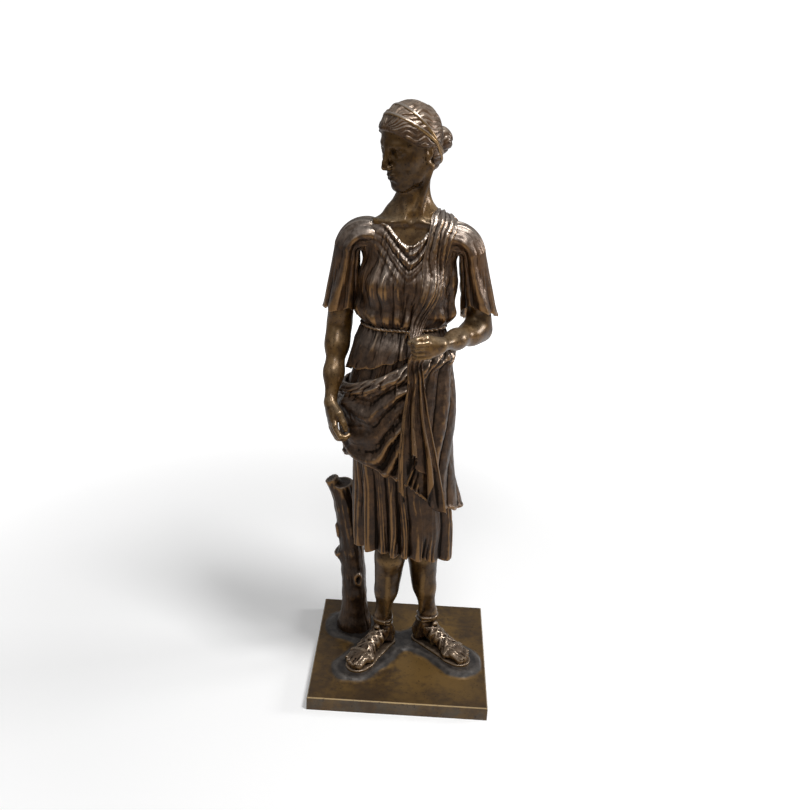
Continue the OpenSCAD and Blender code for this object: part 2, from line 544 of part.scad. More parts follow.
// The left forearm reaches forward, and its hand gathers the end of the mantle
left_grip = around(centre_at(belt_z), 22, body_r(22, belt_z) + 25, mantle_top(22) + 13.5);
left_free = arm_root(1) + [22, 15, -elbow_drop];
left_elbow = left_free + [held_out(1, left_free, left_grip, 0.4), 0, 0];
left_wrist = mix(left_elbow, left_grip, 0.8) + [2, -2, 1];
left_palm = [-0.5, 1, 0];
module left_arm() color(worn_bronze)
    difference() {
        union() {
            arm(1, left_elbow, left_wrist, left_grip, [-0.6, 1, 0]);
            arm_spigot(1);
            fingers(left_wrist, left_grip, left_palm, -1, 1);
        }
        arm_pin(1, pin_d, shoulder_z + 30);
    }

// ---- bust: head, neck and upper chest in one casting that drops into the neckline
face_turn = -52;
nod = 13;
head_at = [centre_at(neck_z)[0] + 1.5, 1, chin_z];
function head_point(p) = let (a = p[1] * cos(nod) + p[2] * sin(nod), h = p[2] * cos(nod) - p[1] * sin(nod))
    head_at + [p[0] * cos(face_turn) + a * sin(face_turn), p[0] * sin(face_turn) - a * cos(face_turn), h];
bust_n = 38;
function look(j) = let (t = 360 * j / bust_n) t - 32 * sin(t);
skull = [[0, [10.5, 16, 2.2]], [0.06, [12.5, 17, 2.2]], [0.2, [15.5, 19, 2]], [0.4, [17.8, 20.6, 1]],
         [0.6, [18.8, 21.4, 0]], [0.76, [17.9, 20.4, -0.4]], [0.88, [14.2, 16.4, -0.8]],
             [0.95, [9.6, 11, -1]],
         [1, [2.4, 2.8, -1.2]]];
function face(a, h) = let (f = abs(wrap(a)))
    4.6 * bump(f, 5.5) * ease(0.58, 0.36, h) * ease(0.27, 0.33, h)          // nose
    + 0.9 * bump(f, 26) * bump(h - 0.575, 0.05)                           // brow
    - 1.9 * bump(f - 21, 10) * bump(h - 0.5, 0.07)                          // eye sockets
    + 0.9 * bump(f - 21, 6) * bump(h - 0.49, 0.035)                         // eyelids
    + 1.5 * bump(f, 11) * bump(h - 0.22, 0.028) - 0.7 * bump(f, 14) * bump(h - 0.155, 0.03)  // lips
    + 1.6 * bump(f, 14) * bump(h - 0.06, 0.07)                              // chin
    + 1.1 * bump(f - 42, 16) * bump(h - 0.33, 0.12);                        // cheeks
function hairline(f) = mix(0.84, 0.34, ease(10, 88, f));
function hair(a, h) = let (f = abs(wrap(a)), on = ease(hairline(f) - 0.02, hairline(f) + 0.05, h))
    on * (2 + 0.8 * fold(6 * h + f / 26) * ease(0.2, 0.5, h)) * ease(1.05, 0.85, h)
    + 9.5 * bump(f - 180, 24) * bump(h - 0.44, 0.16)                        // chignon
    - 0.6 * bump(h - 0.62 - 0.3 * cos(f), 0.018) * on;                     // groove of the hair band
function head_ring(h) = let (s = flow(skull, h)) [for (j = [0:bust_n - 1]) let (a = look(j),
        r = ellipse_r(a, s[0] * head_w / 40, s[1] * head_d / 44) + face(a, h) + hair(a, h))
    head_point([r * sin(a), s[2] + r * cos(a), h * head_l])];
function neck_ring(t) =
    let (c = mix([centre_at(neck_z)[0], 5, neck_z + 2], head_at + [0, 2.2, 0.4], t),
    r = neck_w / 2 * (1 + 0.25 * bump(t, 0.4)))
    [for (j = [0:bust_n - 1]) let (a = look(j) + face_turn, k = nod * ease(0.4, 1, t),
        f = wrap(a - face_turn))
        c + [r * sin(a), -r * cos(a), -r * cos(f) * sin(k) * 0.8]];
function chest_ring(v) =
    [for (j = [0:bust_n - 1]) let (a = look(j) + face_turn,
    z = mix(neckline(a) - neck_lap(a) + 2 * fit_gap, neck_z + 1, v))
    around(centre_at(z), a, mix(skin_r(a, z) - 2.5 * fit_gap, neck_w / 2 * 1.3, ease(0.55, 1, v)), z)];
function spigot_ring(z) =
    [for (j = [0:bust_n - 1]) around(centre_at(seat_z), look(j) + face_turn, spigot_d / 2, z)];

module bust() color(worn_bronze)
    difference() {
        loft(concat([spigot_ring(seat_z - spigot_l), spigot_ring(seat_z)],
                    [for (v = [0, 0.35, 0.6, 0.8, 0.95]) chest_ring(v)],
                    [for (t = [0.2, 0.6, 0.95]) neck_ring(t)],
                    [for (h = [0, 0.03, 0.07, 0.12, 0.155, 0.19, 0.22, 0.26, 0.3, 0.36,
                               0.43, 0.49, 0.55, 0.61, 0.68, 0.76, 0.84, 0.91, 0.96, 1]) head_ring(h)]));
        neck_pin_hole(pin_d);
    }

// The hollow of the left fist, where the gathered cloth passes through
fist = left_grip + unit(left_grip - left_wrist) * 2 + palm_side(left_wrist, left_grip, left_palm) * 5.4;
fist_out = norm([fist[0], fist[1]] - centre_at(belt_z));
fist_turn = asin((fist[0] - centre_at(belt_z)[0]) / fist_out);

// ---- the mantle's end: from the right hip up the back, over the left shoulder and down to the left hand
drape_t = 2.2;
drape_rows = 24;
drape_n = 11;
function body_point(a, z) = around(centre_at(z), a, body_r(a, z), z);
// along the cloth: [turn round the body, height, distance off the body, half width]
drape_line = [
    [0, [fist_turn, left_grip[2] + 12, fist_out - body_r(fist_turn, belt_z), 4]],
        [1, [29, mix(left_grip[2] + 12, bust_z + 12, 0.41), 8, 6]], [2, [40, bust_z + 12, 4.6, 8]],
    [3, [58, shoulder_z + 6.5, 5, 7]], [4, [88, shoulder_z + 13, 5, 6.6]],
        [5, [120, shoulder_z + 7.5, 4.8, 7.6]],
    [6, [148, bust_z + 16, 4.8, 11]], [7, [174, bust_z - 6, 5.6, 14]], [8, [204, belt_z + 2, 8, 16]],
    [9, [228, mantle_top(228) + 10, 10.5, 17]]];
function drape_row(t) = let (c = flow(drape_line, t), a = c[0], z = c[1],
        pa = body_point(a + 1, z) - body_point(a - 1, z),
            pz = body_point(a, z + 0.5) - body_point(a, z - 0.5),
        out = unit(cross(pa, pz)), from = flow(drape_line, max(t - 0.1, 0)),
            to = flow(drape_line, min(t + 0.1, 9)),
        side = unit(cross(body_point(to[0], to[1]) - body_point(from[0], from[1]), out)))
    [for (j = [0:drape_n - 1]) let (u = 2 * j / (drape_n - 1) - 1, s = side * u * c[3],
            p = body_point(a + 2 * (s * pa) / (pa * pa), z + (s * pz) / (pz * pz)))
        [p + out * (c[2] + 0.9 * cos(900 * u + 40 * t)), out * drape_t / 2]];
module shoulder_drape() color(bronze) {
    grid = [for (i = [0:drape_rows - 1]) drape_row(9 * i / (drape_rows - 1))];
    sheet([for (row = grid) [for (q = row) q[0] + q[1]]], [for (row = grid) [for (q = row) q[0] - q[1]]]);
}

// ---- the fall: the end of the mantle that hangs from the left hand in a zigzag of folds
fall_n = 17;
fall_t = 1.8;
fall_turn = 21;
fall_top_z = left_grip[2] - 7;
gathered_d = 3;
function fall_out(a, z) = let (top = mantle_top(a))
    mix(lining_r(a, z) + mantle_t + 3.3 + 3.4 * bump(z - (top - 5.5), 9), fist_out - 2.5,
        ease(top - 4, fall_top_z, z));
function fall_drop(s) = fall_l * (0.6 + 0.4 * abs(2 * s - 0.9));
function fall_mid(s, v) = let (z = fall_top_z - fall_drop(s) * v, w = mix(8, 20, ease(0, 0.9, v)),
        a = mix(fist_turn, fall_turn, ease(0, 0.3, v)) + w * (2 * s - 1) + 1.6 * v * sin(1080 * s + 90))
    around(centre_at(z), a, fall_out(a, z) + fall_t / 2 + mix(0.5, 2.6, v) * (1 + sin(1080 * s)), z);
function fall_point(s, v) =
    let (d = fall_mid(s + 0.01, v) - fall_mid(s - 0.01, v), o = unit([d[1], -d[0], 0]))
    [fall_mid(s, v), o * fall_t / 2 * mix(0.6, 1, v)];

module mantle_fall() color(bronze) {
    grid = [for (i = [0:9]) [for (j = [0:fall_n - 1]) fall_point(j / (fall_n - 1), i / 9)]];
    union() {
        sheet([for (row = grid) [for (q = row) q[0] - q[1]]],
            [for (row = grid) [for (q = row) q[0] + q[1]]]);
        translate([fist[0], fist[1], fall_top_z - 6]) cylinder(d = gathered_d, h = 15, $fn = 24);
    }
}

// ---- fixings
module neck_pin() color(fixing_brass) neck_pin_hole(pin_d - 2 * 0.05, 1);
module arm_pins() color(fixing_brass) for (side = [-1, 1]) arm_pin(side, pin_d - 0.1, arm_pin_top);
module waist_pins() color(fixing_brass) waist_pin_holes(pin_d - 0.1, 12);
module leg_pins() color(fixing_brass)
    for (ankle = [right_ankle, left_ankle]) let (s = leg_socket(ankle))
        translate([s[0], s[1], floor_z + spigot_l / 2]) rotate([0, 90, 0])
            cylinder(d = pin_d - 0.1, h = spigot_d + 7, center = true, $fn = 24);
module mantle_rivets() color(fixing_brass) mantle_rivet_holes(pin_d - 0.1, 1);
module stud(p, top) translate([p[0], p[1], 1]) cylinder(d = stud_d, h = top - 1, $fn = 48);
module foot_studs() color(fixing_brass) for (p = stud_spots) stud(p, ground_z + 8.5);
module stump_stud() color(fixing_brass) stud(stump_at, ground_z + 13);
module stud_washers() color(fixing_brass)
    for (p = concat(stud_spots, [stump_at])) translate([p[0], p[1], pocket_depth - washer_t]) difference() {
        cylinder(r = washer_r, h = washer_t, $fn = 48);
        translate([0, 0, -1]) cylinder(r = hole_r, h = washer_t + 2, $fn = 48);
    }
module stud_nuts() color(fixing_brass)
    for (p = concat(stud_spots, [stump_at])) translate([p[0], p[1],
        pocket_depth - washer_t - nut_h]) difference() {
        cylinder(r = stud_d * 0.92, h = nut_h, $fn = 6);
        translate([0, 0, -1]) cylinder(d = stud_d + 0.1, h = nut_h + 2, $fn = 48);
    }

// ---- all pieces
plinth();
tree_stump();
right_leg();
left_leg();
skirt();
bodice();
bust();
right_arm();
left_arm();
mantle();
shoulder_drape();
mantle_fall();
neck_pin();
arm_pins();
waist_pins();
leg_pins();
mantle_rivets();
foot_studs();
stump_stud();
stud_washers();
stud_nuts();
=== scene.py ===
import math

import bpy
import numpy as np
import openvdb
from mathutils import Matrix, Vector


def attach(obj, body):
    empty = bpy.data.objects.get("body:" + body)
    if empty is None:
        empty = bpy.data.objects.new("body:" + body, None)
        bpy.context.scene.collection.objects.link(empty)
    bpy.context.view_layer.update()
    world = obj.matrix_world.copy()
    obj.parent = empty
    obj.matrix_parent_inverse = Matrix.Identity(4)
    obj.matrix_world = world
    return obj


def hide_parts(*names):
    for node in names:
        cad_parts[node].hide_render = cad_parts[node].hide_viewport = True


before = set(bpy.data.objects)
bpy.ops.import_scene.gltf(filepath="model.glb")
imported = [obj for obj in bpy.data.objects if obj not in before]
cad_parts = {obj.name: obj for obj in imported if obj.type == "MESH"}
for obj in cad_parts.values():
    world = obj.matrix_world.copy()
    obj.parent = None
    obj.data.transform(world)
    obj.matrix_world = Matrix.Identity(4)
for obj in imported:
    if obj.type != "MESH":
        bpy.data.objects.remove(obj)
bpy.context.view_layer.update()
print("frame loaded")

mm = 0.001

# place in millimetres, angles in degrees, lens in millimetres
view = {"position": (1.3, -651.3, 472.0), "azimuth": 0.7, "elevation": 21.6, "roll": 3.1, "lens": 44.4}


def makeCamera():
    az, el, roll = (math.radians(view[k]) for k in ("azimuth", "elevation", "roll"))
    back = Vector((math.sin(az) * math.cos(el), -math.cos(az) * math.cos(el), math.sin(el)))
    right = (-back).cross(Vector((0, 0, 1))).normalized()
    up = right.cross(-back)
    axes = (math.cos(roll) * right + math.sin(roll) * up, math.cos(roll) * up - math.sin(roll) * right, back)
    data = bpy.data.cameras.new("camera")
    data.lens, data.sensor_width, data.clip_start = view["lens"], 36, 0.01
    cam = bpy.data.objects.new("camera", data)
    cam.matrix_world = Matrix.Translation(Vector(view["position"]) * mm) @ Matrix(axes).transposed().to_4x4()
    bpy.context.scene.collection.objects.link(cam)
    bpy.context.scene.camera = cam


# each lamp's place and side in metres, and its watts
lamps = {"key": ((0.45, -0.33, 1.40), 0.32, 14.2),
         "fill": ((-1.0, -0.9, 0.75), 0.6, 0.8),
         "side": ((1.02, 0.22, 0.50), 0.28, 4.2),
         "front": ((-0.05, -0.85, 1.25), 0.30, 4.0)}


def makeLamps():
    target = Vector((0, 0, 0.22))  # the statuette's middle
    for name, (place, side, watts) in lamps.items():
        data = bpy.data.lights.new(name, "AREA")
        data.shape, data.size, data.energy = "SQUARE", side, watts
        lamp = bpy.data.objects.new(name, data)
        lamp.location = place
        lamp.rotation_euler = (target - lamp.location).to_track_quat("-Z", "Y").to_euler()
        bpy.context.scene.collection.objects.link(lamp)


class Wire:
    # a node's output that can be used in sums
    def __init__(self, tree, socket=None):
        self.tree, self.socket = tree, socket

    def node(self, kind, settings=None, sockets=None, out=0):
        made = self.tree.nodes.new("ShaderNode" + kind)
        for key, value in (settings or {}).items():
            setattr(made, key, value)
        for key, value in (sockets or {}).items():
            if isinstance(value, Wire):
                self.tree.links.new(value.socket, made.inputs[key])
            else:
                made.inputs[key].default_value = value
        return None if out is None else Wire(self.tree, made.outputs[out])

    def sum(self, kind, *values):
        return self.node("Math", {"operation": kind}, dict(enumerate(values)))

    def __add__(self, other):
        return self.sum("ADD", self, other)

    def __sub__(self, other):
        return self.sum("SUBTRACT", self, other)

    def __rsub__(self, other):
        return self.sum("SUBTRACT", other, self)

    def __mul__(self, other):
        return self.sum("MULTIPLY", self, other)

    __radd__ = __add__
    __rmul__ = __mul__

    def larger(self, other):
        return self.sum("MAXIMUM", self, other)

    def __abs__(self):
        return self.sum("ABSOLUTE", self)

    def between(self, low, high):
        return self.node("MapRange", {"interpolation_type": "SMOOTHSTEP"},
                         {"Value": self, "From Min": low, "From Max": high})

    def tint(self, first, second):
        # the first colour where this wire is 0 and the second where it is 1
        colours = {key: c if isinstance(c, Wire) else (*c, 1) for key, c in ((6, first), (7, second))}
        return self.node("Mix", {"data_type": "RGBA"}, {0: self, **colours}, 2)

    def mark(self, name):
        # a number that the mesh carries at each of its points
        return self.node("Attribute", {"attribute_name": name}, out="Fac")

    def axis(self, k):
        return self.node("SeparateXYZ", {}, {0: self}, k)

    def squeezed(self, by):
        return self.node("VectorMath", {"operation": "MULTIPLY"}, {0: self, 1: by})

    def noise(self, size, detail=3.0, rough=0.55):
        # blotches of about this size in millimetres at this wire's places
        return self.node("TexNoise", {}, {"Vector": self, "Scale": 1 / (size * mm), "Detail": detail,
                                          "Roughness": rough})

    def backdrop(self, seen, mirrored):
        # one strength for the camera's rays and another for reflections
        kinds = ("Camera", "Glossy", "Transmission")
        camera, glossy, clear = (self.node("LightPath", out=f"Is {kind} Ray") for kind in kinds)
        return camera.larger(clear) * seen + glossy * mirrored

    def metal(self, height, strength, depth, sockets):
        # depth is that of the surface's relief in millimetres
        bump = self.node("Bump", {}, {"Strength": strength, "Distance": depth * mm, "Height": height})
        shine = self.node("BsdfPrincipled", {}, {**sockets, "Normal": bump})
        self.node("OutputMaterial", {}, {"Surface": shine}, None)


def blankMaterial(name):
    made = bpy.data.materials.new(name)
    made.use_nodes = True
    made.node_tree.nodes.clear()
    start = Wire(made.node_tree)
    return made, start, start.node("TexCoord", out="Object")


# colours and amounts of each casting's finish, painted sheen and painted shade included; crinkle, the grey dust and
# painted sheen, and coat run from 0 to 1
castings = {
    "darkBronze": {"hollow": (0.004, 0.0025, 0.0015), "wornSheen": (0.42, 0.365, 0.315), "patina": (0.034, 0.018, 0.010),
                   "warm": (0.105, 0.050, 0.019), "rubbed": (0.27, 0.145, 0.056), "dustAndSheen": (0.255, 0.214, 0.182),
                   "dustAndSheenAmount": 0.95, "lowDustAndSheen": 0.28, "wornAmount": 0.60, "crinkle": 1.0, "roughness": 0.36,
                   "metallic": 0.55, "coat": 0.1, "specks": 0.45, "specular": 0.33},
    "rubbedBronze": {"hollow": (0.010, 0.005, 0.0025), "wornSheen": (0.34, 0.27, 0.19), "patina": (0.046, 0.021, 0.0055),
                     "warm": (0.150, 0.072, 0.014), "rubbed": (0.28, 0.160, 0.055), "dustAndSheen": (0.33, 0.240, 0.140),
                     "dustAndSheenAmount": 0.62, "lowDustAndSheen": 0.30, "wornAmount": 0.40, "crinkle": 0.0, "roughness": 0.32,
                     "metallic": 0.40, "coat": 0.3, "specks": 0.75, "specular": 0.18},
    "plinthBronze": {"hollow": (0.018, 0.012, 0.007), "patina": (0.062, 0.037, 0.018), "warm": (0.172, 0.098, 0.028),
                     "rubbed": (0.42, 0.30, 0.13), "earth": (0.030, 0.027, 0.026), "dust": (0.105, 0.092, 0.082),
                     "tarnish": (0.075, 0.066, 0.055), "wornAmount": 0.4, "roughness": 0.40, "metallic": 0.45},
}
# heights in metres over which the grey dust and painted sheen set in, and over which the painted shade towards the
# bottom fades and the coat sets in; then the painted shade's colour
dustAndSheenRise, shadeAndCoatRise, dullLacquer = (0.19, 0.33), (0.07, 0.30), (0.012, 0.006, 0.0025)


def bronze(name):
    look, cloth = castings[name], castings["darkBronze"]
    made, start, place = blankMaterial(name)
    worn, hollow, crown, dull = (start.mark(k) for k in ("worn", "hollow", "crown", "dull"))
    upward, level = start.node("NewGeometry", out="Normal").axis(2), place.axis(2)
    above = level.between(*dustAndSheenRise)
    clouds, mottle, grain = place.noise(26, 4), place.noise(4.5, 5, 0.65), place.noise(0.9, 3, 0.6)
    specks = place.noise(1.5, 2).between(0.62, 0.70) * look["specks"]
    patchy = (clouds * 0.5 + mottle * 0.5).between(0.38, 0.64)
    # crown is 1 on hair and footwear, which take the colours of the cloth, more dust and painted sheen, and less of
    # the painted shade
    colour = patchy.tint(*(crown.tint(look[k], cloth[k]) for k in ("patina", "warm")))
    # grey dust and painted sheen: lighter on surfaces that face up, and more so higher up, as if lit from above
    dustAndSheenLevel = above * (1 - look["lowDustAndSheen"]) + look["lowDustAndSheen"] + crown * 0.5
    dustAndSheen = upward.between(-0.05, 0.8) * mottle.between(0.18, 0.66) * look["dustAndSheenAmount"] * dustAndSheenLevel * (1 - hollow)
    colour = dustAndSheen.tint(colour, crown.tint(look["dustAndSheen"], cloth["dustAndSheen"]))
    # painted shade: the colour darkens lower down and on the face, hair and footwear less so; the same factor scales
    # the coat
    clear = (level.between(*shadeAndCoatRise) * 0.5 + 0.5).larger(crown) * (1 - dull)
    colour = clear.tint(dullLacquer, colour)
    rubbed = (worn * 1.1 + mottle * 0.8 + grain * 0.3 - 0.72).between(0.08, 0.85)
    rubbed = rubbed * (crown * 0.2 + above * 0.15 + look["wornAmount"])
    # worn ridges that face up, more so higher up, take a silver painted sheen; the others keep the rubbed colour of
    # wear
    wornSheen = crown.tint(look["wornSheen"], cloth["wornSheen"])
    colour = rubbed.tint(colour, (upward.between(0.05, 0.7) * (above * 0.35 + 0.6)).tint(look["rubbed"], wornSheen))
    # dark patina and painted shade in hollows and creases, with real specks; cloth gets less of it higher up
    dirtAndShade = (hollow * 1.35 + grain * 0.3 + specks - 0.2).between(0.05, 0.9)
    dirtAndShade = dirtAndShade * (1 - (above * 0.25 + 0.12) * look["crinkle"])
    colour = dirtAndShade.tint(colour, look["hollow"])
    height = grain * 0.7 + mottle * 0.6
    if look["crinkle"]:
        upright = place.squeezed((1.0, 1.0, 0.28))
        height = height + upright.noise(1.5, 4, 0.6) * (above * 1.6 + 0.6) * look["crinkle"]
    start.metal(height, 0.6, 0.14, {
        "Base Color": colour, "Roughness": look["roughness"] + dirtAndShade * 0.22 + mottle * 0.2 - 0.1 - rubbed * 0.08,
        "Metallic": look["metallic"] + rubbed * 0.4 + dirtAndShade * 0.4, "Specular IOR Level": look["specular"],
        "Coat Weight": (1 - dirtAndShade) * clear * look["coat"], "Coat Roughness": 0.22})
    return made


def brass(name):
    made, start, place = blankMaterial(name)
    mottle = place.noise(2.5, 4)
    colour = mottle.between(0.3, 0.7).tint((0.42, 0.31, 0.14), (0.55, 0.43, 0.22))
    start.metal(mottle, 0.3, 0.05, {"Base Color": colour, "Roughness": mottle * 0.3 + 0.25, "Metallic": 0.95})
    return made


def plinthMetal(name):
    # the plate's wear, with a painted highlight along the top edge's bevel, follows its edges, which lie at known
    # places
    look = castings["plinthBronze"]
    made, start, place = blankMaterial(name)
    x, y, z = (place.axis(k) for k in range(3))
    far = abs(x).larger(abs(y))
    side, low, high = plate["width"] / 2 * mm, plate["bevel"] * mm, plate["thickness"] * mm
    rim = far.between(side - 1.1 * low, side - 0.7 * low) * z.between(high - 1.1 * low, high - 0.6 * low)
    corner = (abs(x) + abs(y)).between(2 * side - 3 * mm, 2 * side - 0.4 * mm)
    clouds, mottle, grain = place.noise(34, 5, 0.6), place.noise(5, 5, 0.65), place.noise(0.8, 3, 0.6)
    brushed = place.squeezed((0.18, 1.0, 1.0)).noise(1.1, 3, 0.6)
    middle = 1 - far.between(0.35 * side, 1.0 * side) * 0.55
    golden = ((clouds * 0.62 + mottle * 0.38).between(0.36, 0.60) * middle + brushed * 0.24 - 0.06).between(0.0, 0.95)
    colour = golden.tint(look["patina"], look["warm"])
    # here the mark is only tarnish: grey patches on the plate's sides
    dull = (1 - z.between(high - 1.6 * mm, high - 0.2 * mm)) * place.noise(16, 4).between(0.42, 0.6) * 0.55
    colour = dull.tint(colour, look["tarnish"])
    # wear and a painted highlight: the rubbed colour along the top edge's bevel, stronger at the corners
    worn = (rim * 1.1 + rim * corner * 0.6 + rim * mottle - 0.3).between(0.0, 1.2) * look["wornAmount"]
    colour = worn.tint(colour, look["rubbed"])
    dusty = place.noise(7, 4).between(0.36, 0.66) * 0.5 + grain * 0.2 - 0.05 + start.mark("worn") * 0.45
    soil = (start.mark("earth") * (mottle * 0.5 + 0.7)).between(0.05, 0.95)
    colour = soil.tint(colour, dusty.tint(look["earth"], look["dust"]))
    spots = place.noise(2.0, 3).between(0.62, 0.72) * 0.75
    start.metal(grain * 0.5 + mottle * 0.6 + brushed * 0.3, 0.35, 0.08, {
        "Base Color": spots.tint(colour, look["hollow"]), "Metallic": look["metallic"], "Specular IOR Level": 0.4,
        "Roughness": look["roughness"] + mottle * 0.24 - 0.12 + spots * 0.2 - worn * 0.1,
        "Coat Weight": 0.1, "Coat Roughness": 0.3})
    return made


# near and far are how brightly the floor shows under the statuette and far from it; sizes in metres
floorLook = {"colour": 0.80, "near": 0.22, "far": 0.99, "shine": 0.15, "reach": 6.0, "bend": 1.2, "wall": 5.0,
             "sides": 96}
skyLook = {"seen": 0.82, "mirrored": 0.24, "light": 0.13}


def floorPaint():
    made, start, place = blankMaterial("floorPaint")
    far = start.node("VectorMath", {"operation": "LENGTH"}, {0: place}, 1).between(0.22, 0.8)
    glowing = far * (floorLook["far"] - floorLook["near"]) + floorLook["near"]
    matt = start.node("BsdfDiffuse", {}, {"Color": (*[floorLook["colour"]] * 3, 1)})
    strength = start.backdrop(glowing, floorLook["shine"])
    glow = start.node("Emission", {}, {"Color": (1, 1, 1, 1), "Strength": strength})
    start.node("OutputMaterial", {}, {"Surface": start.node("AddShader", {}, {0: matt, 1: glow})}, None)
    return made


def makeRoom():
    # the floor curves up into a round wall, so that no edge shows from any side
    reach, bend, sides = (floorLook[k] for k in ("reach", "bend", "sides"))
    profile = [(1.0, 0.0), (3.0, 0.0)]
    profile += [(reach - bend + bend * math.sin(t), bend - bend * math.cos(t)) for t in np.linspace(0, np.pi / 2, 17)]
    profile += [(reach, floorLook["wall"])]
    turn = [2 * math.pi * k / sides for k in range(sides)]
    corners = [(r * math.cos(t), r * math.sin(t), z) for r, z in profile for t in turn]
    faces = gridFaces(len(profile), sides, False, True).tolist() + [list(range(sides))[::-1]]
    mesh = bpy.data.meshes.new("floor")
    mesh.from_pydata(corners, [], faces)
    mesh.polygons.foreach_set("use_smooth", [True] * len(mesh.polygons))
    mesh.materials.append(floorPaint())
    floor = bpy.data.objects.new("floor", mesh)
    bpy.context.scene.collection.objects.link(floor)
    world = bpy.data.worlds.new("room")
    bpy.context.scene.world = world
    world.use_nodes = True
    world.node_tree.nodes.clear()
    start = Wire(world.node_tree)
    strength = start.backdrop(skyLook["seen"], skyLook["mirrored"]) + skyLook["light"]
    sky = start.node("Background", {}, {"Color": (1, 1, 1, 1), "Strength": strength})
    start.node("OutputWorld", {}, {"Surface": sky}, None)
    bpy.context.scene.view_settings.view_transform = "Standard"


# from here on angles are in degrees and lengths in millimetres
def sind(a):
    return np.sin(np.radians(a))


def cosd(a):
    return np.cos(np.radians(a))


def mix(a, b, t):
    return a + (b - a) * t


def ease(a, b, x):
    t = np.clip((x - a) / (b - a), 0, 1)
    return t * t * (3 - 2 * t)


def bump(x, w):
    return np.exp(-(x / w) ** 2)


def wrap(a):
    return (a + 180) % 360 - 180


def vec(*xyz):
    return np.array(xyz, float)


def unit(v):
    return v / np.maximum(np.linalg.norm(v, axis=-1, keepdims=True), 1e-9)


def fold(u):
    # a rounded ridge in every unit of u
    f = u - np.floor(u)
    return 4 * f * (1 - f)


def foldSize(u):
    # each fold's own height
    return 0.72 + 0.28 * sind(137.5 * np.floor(u))


def flow(stations, x):
    # a smooth curve through [position, values]
    at, value = (np.array(column, float) for column in zip(*stations))
    x = np.asarray(x, float)
    i = np.clip(np.searchsorted(at, x, side="right") - 1, 0, len(at) - 2)
    before, after = np.maximum(i - 1, 0), np.minimum(i + 2, len(at) - 1)
    width = at[i + 1] - at[i]
    t = np.clip((x - at[i]) / width, 0, 1)
    slope0, slope1 = width / (at[i + 1] - at[before]), width / (at[after] - at[i])
    if value.ndim > 1:
        t, slope0, slope1 = t[..., None], slope0[..., None], slope1[..., None]
    m0, m1 = (value[i + 1] - value[before]) * slope0, (value[after] - value[i]) * slope1
    return (value[i] * (2 * t ** 3 - 3 * t ** 2 + 1) + m0 * (t ** 3 - 2 * t ** 2 + t)
            + value[i + 1] * (3 * t ** 2 - 2 * t ** 3) + m1 * (t ** 3 - t ** 2))


def lattice(i, j, seed):
    n = np.sin(i * 127.1 + j * 311.7 + seed * 19.19) * 43758.5453
    return n - np.floor(n)


def rough(x, y, seed):
    # smooth noise from -1 to 1
    x, y = np.broadcast_arrays(np.asarray(x, float), np.asarray(y, float))
    i, j = np.floor(x), np.floor(y)
    u, v = ease(0, 1, x - i), ease(0, 1, y - j)
    low, high = (mix(lattice(i, k, seed), lattice(i + 1, k, seed), u) for k in (j, j + 1))
    return 2 * mix(low, high, v) - 1


# heights above the table
heights = {"plate": 10.5, "ground": 11.9, "ankle": 31.5, "knee": 126.5, "hem": 102.5, "hip": 218.5,
           "belt": 272.5, "bust": 301.5, "shoulder": 332.5, "neck": 348.5}
plate = {"width": 130, "thickness": 10.5, "bevel": 0.8}
hemZ, kneeZ, hipZ, beltZ, bustZ, shoulderZ, neckZ = (
    heights[k] for k in ("hem", "knee", "hip", "belt", "bust", "shoulder", "neck"))
# the body's middle at the neck, and the floor inside the skirt that holds the legs
neckX, legTop = -9, hemZ + 14
# the dressed body from below: height, then middle in x and y, half width and half depth
bodyStations = [
    [hemZ - 12, [-3, 3, 34, 25]], [kneeZ + 4, [-5, 2, 35, 25]], [mix(kneeZ, hipZ, 0.5), [-9, 2, 33.5, 25]],
    [hipZ, [-13, 4, 36.5, 28]], [mix(hipZ, beltZ, 0.55), [-12, 4, 30.5, 24]], [beltZ, [-11, 4, 27.5, 18.5]],
    [bustZ, [-10, 4, 32, 21]], [bustZ + 16, [-9.5, 4, 30, 19]], [shoulderZ, [-9, 4, 35, 16]],
    [mix(shoulderZ, neckZ, 0.56), [-9, 4, 28, 13.5]], [neckZ - 1, [-9, 4, 15.75, 12]],
    [neckZ + 8, [-9, 3, 10.75, 10.75]]]


def around(a, r, z):
    # a place on the body: a is 0 in front and grows towards the left side, r is how far out
    c = flow(bodyStations, z)
    return np.stack([c[..., 0] + r * sind(a), c[..., 1] - r * cosd(a), z + 0 * r], -1)


def ovalR(a, rx, ry):
    return 1 / np.sqrt((sind(a) / rx) ** 2 + (cosd(a) / ry) ** 2)


def thigh(a, z):
    side = wrap(a - mix(38, 22, ease(kneeZ, hipZ, z)))
    return 5.5 * bump(side, 22) * ease(hemZ, kneeZ, z) * (1 - ease(hipZ - 34, hipZ + 6, z))


def bodyR(a, z):
    s = flow(bodyStations, z)
    breasts = 6 * (bump(wrap(a - 33), 20) + bump(wrap(a + 33), 20)) * bump(z - bustZ, 13)
    return ovalR(a, s[..., 2], s[..., 3]) + thigh(a, z) + breasts


def gridFaces(rows, cols, closedRows=False, closedCols=False):
    i = np.arange(rows if closedRows else rows - 1)[:, None]
    j = np.arange(cols if closedCols else cols - 1)[None, :]
    i2, j2 = (i + 1) % rows, (j + 1) % cols
    return np.stack([i * cols + j, i * cols + j2, i2 * cols + j2, i2 * cols + j], -1).reshape(-1, 4)


def turns(count):
    return np.arange(count) * 360 / count


def gridOf(u, v):
    return np.meshgrid(u, v, indexing="ij")


def vertexNormals(points, quads):
    a, b, c, d = (points[quads[:, k]] for k in range(4))
    face = np.cross(c - a, d - b)
    normal = np.zeros_like(points)
    for k in range(4):
        for axis in range(3):
            normal[:, axis] += np.bincount(quads[:, k], face[:, axis], len(points))
    return unit(normal)


